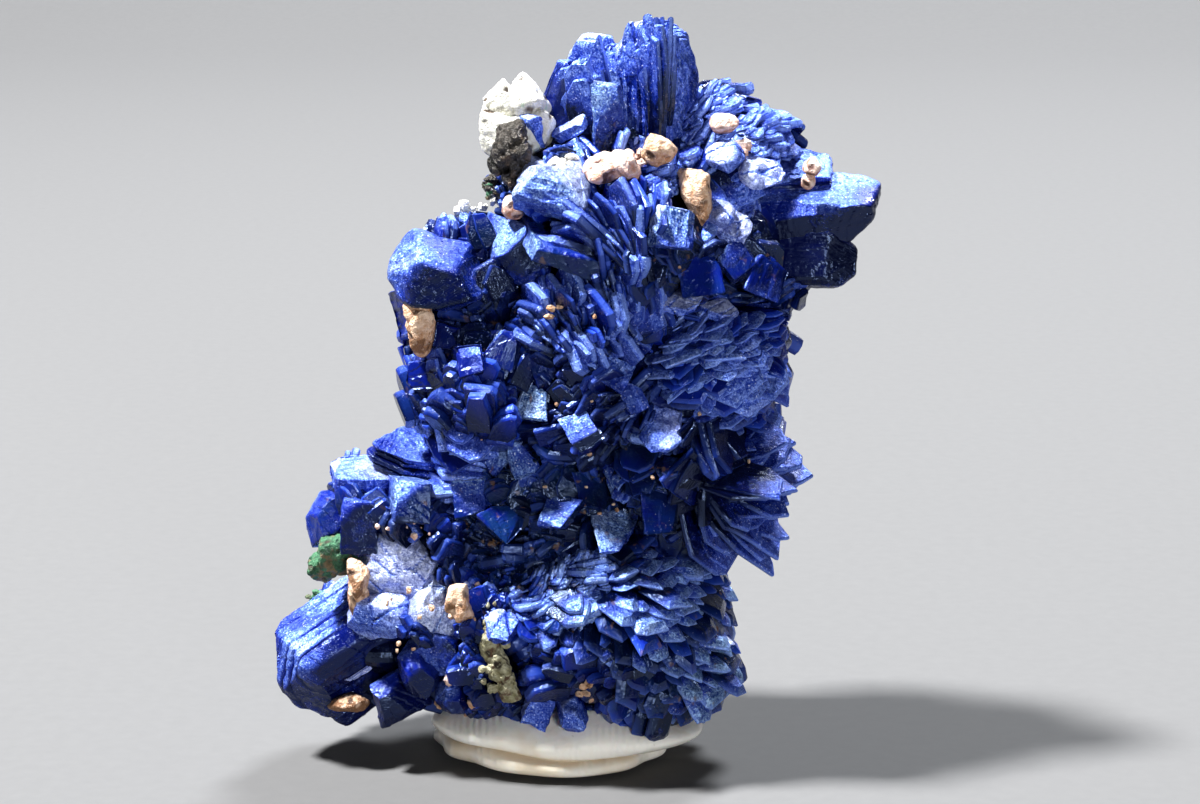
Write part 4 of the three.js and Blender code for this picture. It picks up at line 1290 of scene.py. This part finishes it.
MINERALS = {
    "pink_grain": mineral_finish(
        "pink_grain", (0.92, 0.76, 0.68), (0.66, 0.34, 0.24), (0.42, 0.17, 0.09), (0.10, 0.04, 0.03)
    ),
    "tan_grain": mineral_finish(
        "tan_grain", (0.90, 0.66, 0.48), (0.50, 0.24, 0.11), (0.22, 0.10, 0.04), (0.07, 0.03, 0.015)
    ),
    "white_matrix": mineral_finish(
        "white_matrix", (0.92, 0.91, 0.86), (0.72, 0.70, 0.58), (0.50, 0.66, 0.50),
        (0.09, 0.06, 0.04), stain_from=0.62,
    ),
    "dark_grain": mineral_finish(
        "dark_grain", (0.09, 0.08, 0.07), (0.008, 0.007, 0.006), (0.10, 0.07, 0.045),
        (0.003, 0.003, 0.003), rough=0.34, Metallic=0.6,
    ),
    "malachite": mineral_finish(
        "malachite", (0.06, 0.21, 0.10), (0.004, 0.045, 0.02), (0.16, 0.12, 0.06),
        (0.03, 0.025, 0.012), stain_from=0.52,
    ),
    "olive_matrix": mineral_finish(
        "olive_matrix", (0.52, 0.50, 0.34), (0.20, 0.18, 0.08), (0.11, 0.06, 0.03),
        (0.03, 0.02, 0.012), stain_from=0.54,
    ),
}
print("minerals:", sorted(MINERALS))

# %% The stones
WHOLE = [(0, 0, 0, 1.05)]
SNUG = 0.3  # how far a stone may swell into the gap round its solid node
FORWARD = 0.4  # how far a stone stands in front of the middle of its solid node
STONE_STEPS = 13  # grid steps for each millimetre of a stone's longest half size
SHAPES = {
    # node: slot, edge power, wrinkle and grit in mm, brown, lumps as shares of the box: place, size
    "pink_nugget": (
        "pink_grain", 14, 0.2, 0.09, 0, [(-0.25, -0.2, 0, 0.85), (0.4, -0.2, 0.1, 0.72)]
    ),
    "pink_shoulder_grain": ("pink_grain", 8, 0.06, 0.03, 0, WHOLE),
    "pink_edge_grain": (
        "pink_grain", 9, 0.10, 0.04, 0.05, [(0.1, 0, 0.25, 0.75), (-0.2, 0, -0.5, 0.5)]
    ),
    "small_pink_grain": ("pink_grain", 9, 0.14, 0.04, 0.1, WHOLE),
    "leaning_tan_grain": (
        "tan_grain", 9, 0.16, 0.05, 0.05, [(0, -0.1, 0.28, 0.82), (0, -0.1, -0.32, 0.78)]
    ),
    "salmon_grain": (
        "tan_grain", 9, 0.18, 0.05, 0.1, [(0, -0.2, 0.25, 0.85), (0.05, -0.2, -0.35, 0.75)]
    ),
    "tan_ledge_grain": ("tan_grain", 12, 0.14, 0.04, 0.05, WHOLE),
    "tall_tan_grain": ("tan_grain", 14, 0.12, 0.04, 0, WHOLE),
    "orange_grain": (
        "tan_grain", 12, 0.14, 0.05, 0.05, [(0, -0.2, 0.25, 0.85), (0.15, -0.2, -0.3, 0.75)]
    ),
    "brown_foot_grain": ("tan_grain", 9, 0.12, 0.05, 0.5, WHOLE),
    "malachite_patch": (
        "malachite", 12, 0.2, 0.1, 0.05, [(0.15, -0.2, 0.2, 0.85), (-0.3, -0.1, -0.3, 0.7)]
    ),
    "olive_strip": (
        "olive_matrix", 10, 0.2, 0.08, 0.05,
        [(-0.35, 0, 0.55, 0.5), (0, 0, 0.0, 0.55), (0.35, 0, -0.5, 0.5)],
    ),
    "dark_grain": ("dark_grain", 14, 0.34, 0.13, 0, [(0, 0, 0.25, 0.78), (0.15, 0, -0.4, 0.6)]),
    "white_matrix": (
        "white_matrix", 20, 0.10, 0.04, 0,
        [(-0.3, 0, -0.2, 0.78), (0.22, 0, 0.3, 0.74), (0.35, 0, -0.3, 0.66), (-0.4, 0, 0.4, 0.5)],
    ),
}


def stone(node, number):
    """The lumps of one stone as one piece, a little nearer the front than its solid node."""
    slot, power, wrinkle, grit, brown, lumps = SHAPES[node]
    low, high = node_box(node)
    centre, half = (low + high) / 2 - STEP - [0, FORWARD, 0], (high - low) / 2 + SNUG
    steps = int(np.clip(STONE_STEPS * half.max(), 16, 28))
    blocks = []
    for k, (*place, size) in enumerate(np.array(lumps, float)):
        seed = 40 + 9 * number + k
        middle, reach = centre + half * place, half * size * [1, 1.1, 1]
        blocks.append(lump(middle, reach, seed, steps, power, wrinkle, grit, brown))
    piece = gathered_blocks(node + "_stone", blocks, MINERALS[slot], True)
    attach(piece, "root")
    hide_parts(node)
    return piece


stones = [stone(node, k) for k, node in enumerate(SHAPES)]

# %% [markdown]
# ## Crumbs and crust
#
# Tiny crumbs of the same minerals lie in the gaps and stick to the crystals, and a pale crust of
# them surrounds the nugget and the foot of the peaks. They are too many to place one by one: a
# few spots say where they gather, how many there are and how large, and chance does the rest.

# %% Crumbs
CRUMBS = {
    # slot: rows of across and up as seen, spread across and up, count, size
    "white_matrix": [(0.2, 40.7, 1.9, 0.6, 26, 0.30), (-6.6, 37.8, 0.6, 0.4, 10, 0.28),
                     (-5.6, 38.9, 0.4, 0.6, 8, 0.24)],
    "pink_grain": [(4.2, 41.0, 1.2, 0.5, 16, 0.30), (11.4, 41.9, 0.4, 0.3, 5, 0.32),
                   (18.3, 36.1, 0.2, 0.2, 2, 0.26), (-8.3, 6.5, 0.3, 0.3, 3, 0.42),
                   (-11.8, 16.4, 2.2, 0.6, 9, 0.16)],
    "tan_grain": [(0.7, 5.8, 0.5, 0.4, 5, 0.38), (-6.5, 12.5, 0.5, 0.4, 5, 0.34),
                  (-3.0, 34.3, 0.5, 0.5, 7, 0.22), (-1.7, 31.0, 0.7, 0.6, 6, 0.22),
                  (-7.3, 4.9, 1.2, 0.4, 9, 0.32), (6.4, 36.4, 0.9, 0.9, 8, 0.15),
                  (2.6, 17.4, 2.2, 0.8, 6, 0.15), (-10.0, 9.6, 3.4, 2.8, 12, 0.18),
                  (1.0, 26.0, 9.0, 9.0, 26, 0.14)],
    "malachite": [(-17.4, 12.6, 0.8, 0.8, 14, 0.42), (-5.5, 38.8, 0.5, 0.6, 8, 0.26),
                  (-16.6, 15.4, 0.5, 0.5, 8, 0.34)],
    "olive_matrix": [(-5.4, 8.6, 0.9, 2.2, 24, 0.24)],
    "dark_grain": [(-2.9, 45.6, 0.4, 0.3, 12, 0.4), (-5.3, 39.4, 0.4, 0.5, 6, 0.3)],
}
CRUMB_NODE = {
    "white_matrix": "white_matrix", "pink_grain": "pink_nugget", "tan_grain": "tall_tan_grain",
    "malachite": "malachite_patch", "olive_matrix": "olive_strip", "dark_grain": "dark_grain",
}
MISS = 0.3  # how far outside the swellings a crumb may still cling, as a share of their size
CRUMB_PROUD = 0.8  # how far it stands out of the heap's skin, among the tips of the crystals


# %% Scattering them
def crumbs(slot, number):
    """All the crumbs of one mineral: small cut cubes, each stretched and sized by chance."""
    draw = np.random.default_rng(700 + number)
    rows = np.array(CRUMBS[slot])
    each = np.repeat(rows, rows[:, 4].astype(int), axis=0)
    spots = each[:, :2] + draw.normal(0, 0.6, (len(each), 2)) * each[:, 2:4]
    places, deep = on_skin(*spots.T, 0.1)
    kept = deep > -MISS
    places = places[kept] + CRUMB_PROUD * TO_EYE
    sizes = each[kept, 5] * draw.uniform(0.5, 1.4, kept.sum())
    cube, faces = cube_grid(2)
    count = len(places)
    ball = unit(cube)[None] * draw.uniform(0.7, 1.25, (count, len(cube), 1))
    ball = ball * draw.uniform(0.7, 1.3, (count, 1, 3)) * sizes[:, None, None]
    points = places[:, None] + ball
    faces = (faces[None] + np.arange(count)[:, None, None] * len(cube)).reshape(-1, 4)
    none = np.zeros(count * len(cube))
    # height lets the finish paint each crumb's top a little lighter, as light from above.
    finish = {"pit": none, "height": ball[:, :, 2].ravel() / 0.4, "brown": none}
    piece = new_mesh(
        slot + "_crumbs", points.reshape(-1, 3) + STEP, faces, MINERALS[slot], **finish
    )
    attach(piece, "root")
    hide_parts(CRUMB_NODE[slot])
    return piece


crumb_pieces = [crumbs(slot, k) for k, slot in enumerate(CRUMBS)]

# %% [markdown]
# ## The putty
#
# The specimen stands in a lump of white putty, pressed into shape with a thumb. The lump is a
# pillow with a crease all round between an upper and a lower fold, and a lip that curls up at the
# right. It could be sculpted by hand. As rings of points, one above the other, its height, its
# crease and its lip can each be set by a number.

# %% Putty
PUTTY_ACROSS, PUTTY_UP = 200, 72
CREASE_AT = 0.4  # share of the height where the upper fold rolls over the lower one
RIDGE_PITCH = 0.45  # millimetres between the ridges of a fingertip


def putty_surface(low, high):
    """A closed pillow of two folds: at height share h and angle a round the lump, the radius is
    the outline's times the reach of the fold and its roundness. The lower fold reaches less far,
    least of all at the right, where the upper one ends in a thin lip that curls up."""
    centre, half = (low + high) / 2, (high - low) / 2
    angle = np.arange(PUTTY_ACROSS)[None, :] * TAU / PUTTY_ACROSS
    h = np.linspace(0, 1, PUTTY_UP)[:, None]
    outline = (np.abs(np.cos(angle)) ** 2.3 + np.abs(np.sin(angle)) ** 2.3) ** (-1 / 2.3)
    lip = np.clip(np.cos(angle + 0.25), 0, 1) ** 4
    crease = CREASE_AT + 0.06 * np.sin(angle * 2 + 0.6) + 0.03 * np.sin(angle * 5) + 0.12 * lip
    lower = 1 - 0.30 * np.abs(2 * h / crease - 1.15) ** 3
    lower = lower * (0.96 - 0.22 * lip + 0.03 * np.sin(angle * 4 + 2) + 0.015 * np.sin(angle * 11))
    upper = 1 - 0.34 * np.clip((h - crease) / (1 - crease) * 1.25 - 0.4, -0.4, 1) ** 2 * 1.6
    over = np.clip((h - crease) / 0.05 + 0.5, 0, 1)
    over = over * over * (3 - 2 * over)
    uneven = 0.018 * np.sin(angle * 3 + 4 * h) + 0.010 * np.sin(angle * 9 - 7 * h + 1)
    radius = outline * np.clip(lower * (1 - over) + upper * over, 0.3, 1) * (1 + uneven)
    radius = np.minimum(radius, 1.02 * outline)
    x, y = radius * np.cos(angle) * half[0], radius * np.sin(angle) * half[1]
    rise = (0.45 * lip * h + 0.10 * np.sin(angle * 2) * h * (1 - h)) * (high[2] - low[2]) * 0.4
    z = np.minimum(low[2] + h * (high[2] - low[2]) * (1 - 0.42 * lip) + rise, high[2])
    points = np.stack([centre[0] + x, centre[1] + y, z + 0 * x], axis=-1)
    # shade is painted shade: dark along the crease and half dark over the lower fold. The finish reads
    # it.
    shade = np.exp(-(((h - crease) / 0.05) ** 2)) + 0.5 * (1 - over)
    return points, shade + 0 * x


# %% [markdown]
# ## The putty's finish
#
# Putty has a soft gloss, and a little light goes into it, so its shadows are soft. It is cream
# where fingers have smeared it, with spots of dirt, and the crease and the fold under it are painted
# less white and darker, as shade. A fingertip's ridges are too fine for the mesh, so they are waves
# in the bump.


# %% The putty's finish and its place
def capped_grid(rows, columns):
    """Faces of a grid closed round its columns, with one many-sided face at each end."""
    sides = grid_faces(rows, columns, around=True)
    ring = np.arange(columns)
    corners = np.concatenate([sides.ravel(), ring[::-1], (rows - 1) * columns + ring])
    counts = np.concatenate([np.full(len(sides), 4), [columns, columns]])
    return np.cumsum(counts) - counts, corners


def putty_finish():
    """Waxy white: cream where it is smeared, spots of dirt, painted shade in the crease and on
    the lower fold, and a fingertip's ridges.
    """
    paint = Paint("putty", Subsurface_Weight=0.15, Subsurface_Radius=(0.8, 0.5, 0.3))
    paint.shader.inputs["Subsurface Scale"].default_value = 1.2 * MM
    grain = paint.noise(2200.0, 3.0)
    smear = paint.noise(260.0, 3.0)
    # fold is the crease mark: painted shade along the crease and over the lower fold, which makes them
    # less white.
    fold = paint.attribute("crease")
    colour = paint.mix((smear - fold * 0.2).ramp(0.3, 0.5), (0.84, 0.74, 0.58), (0.97, 0.94, 0.86))
    # Dirt in spots, and painted shade along the crease and over the lower fold.
    dirt_and_fold_shade = paint.noise(1500.0, 3.0).ramp(0.70, 0.78) * 0.6 + fold * 0.25
    colour = paint.mix(dirt_and_fold_shade, colour, (0.36, 0.25, 0.15))
    across = paint.node("SeparateXYZ", {}, paint.place())
    phase = across * (TAU / (RIDGE_PITCH * MM)) + smear * 9
    ridges = paint.node("Math", {"operation": "SINE"}, phase)
    relief = paint.bump(grain * 0.4 + smear + ridges * smear.ramp(0.45, 0.6) * 0.14, 0.00016, 0.8)
    return paint.finish(Base_Color=colour, Roughness=smear * 0.2 + 0.36, Normal=relief)


putty_points, putty_fold_shade = putty_surface(*node_box("putty_base"))
putty = new_mesh(
    "putty_lump", putty_points.reshape(-1, 3), capped_grid(*putty_points.shape[:2]),
    putty_finish(), True, crease=putty_fold_shade.ravel(),
)
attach(putty, "root")
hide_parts("putty_base")
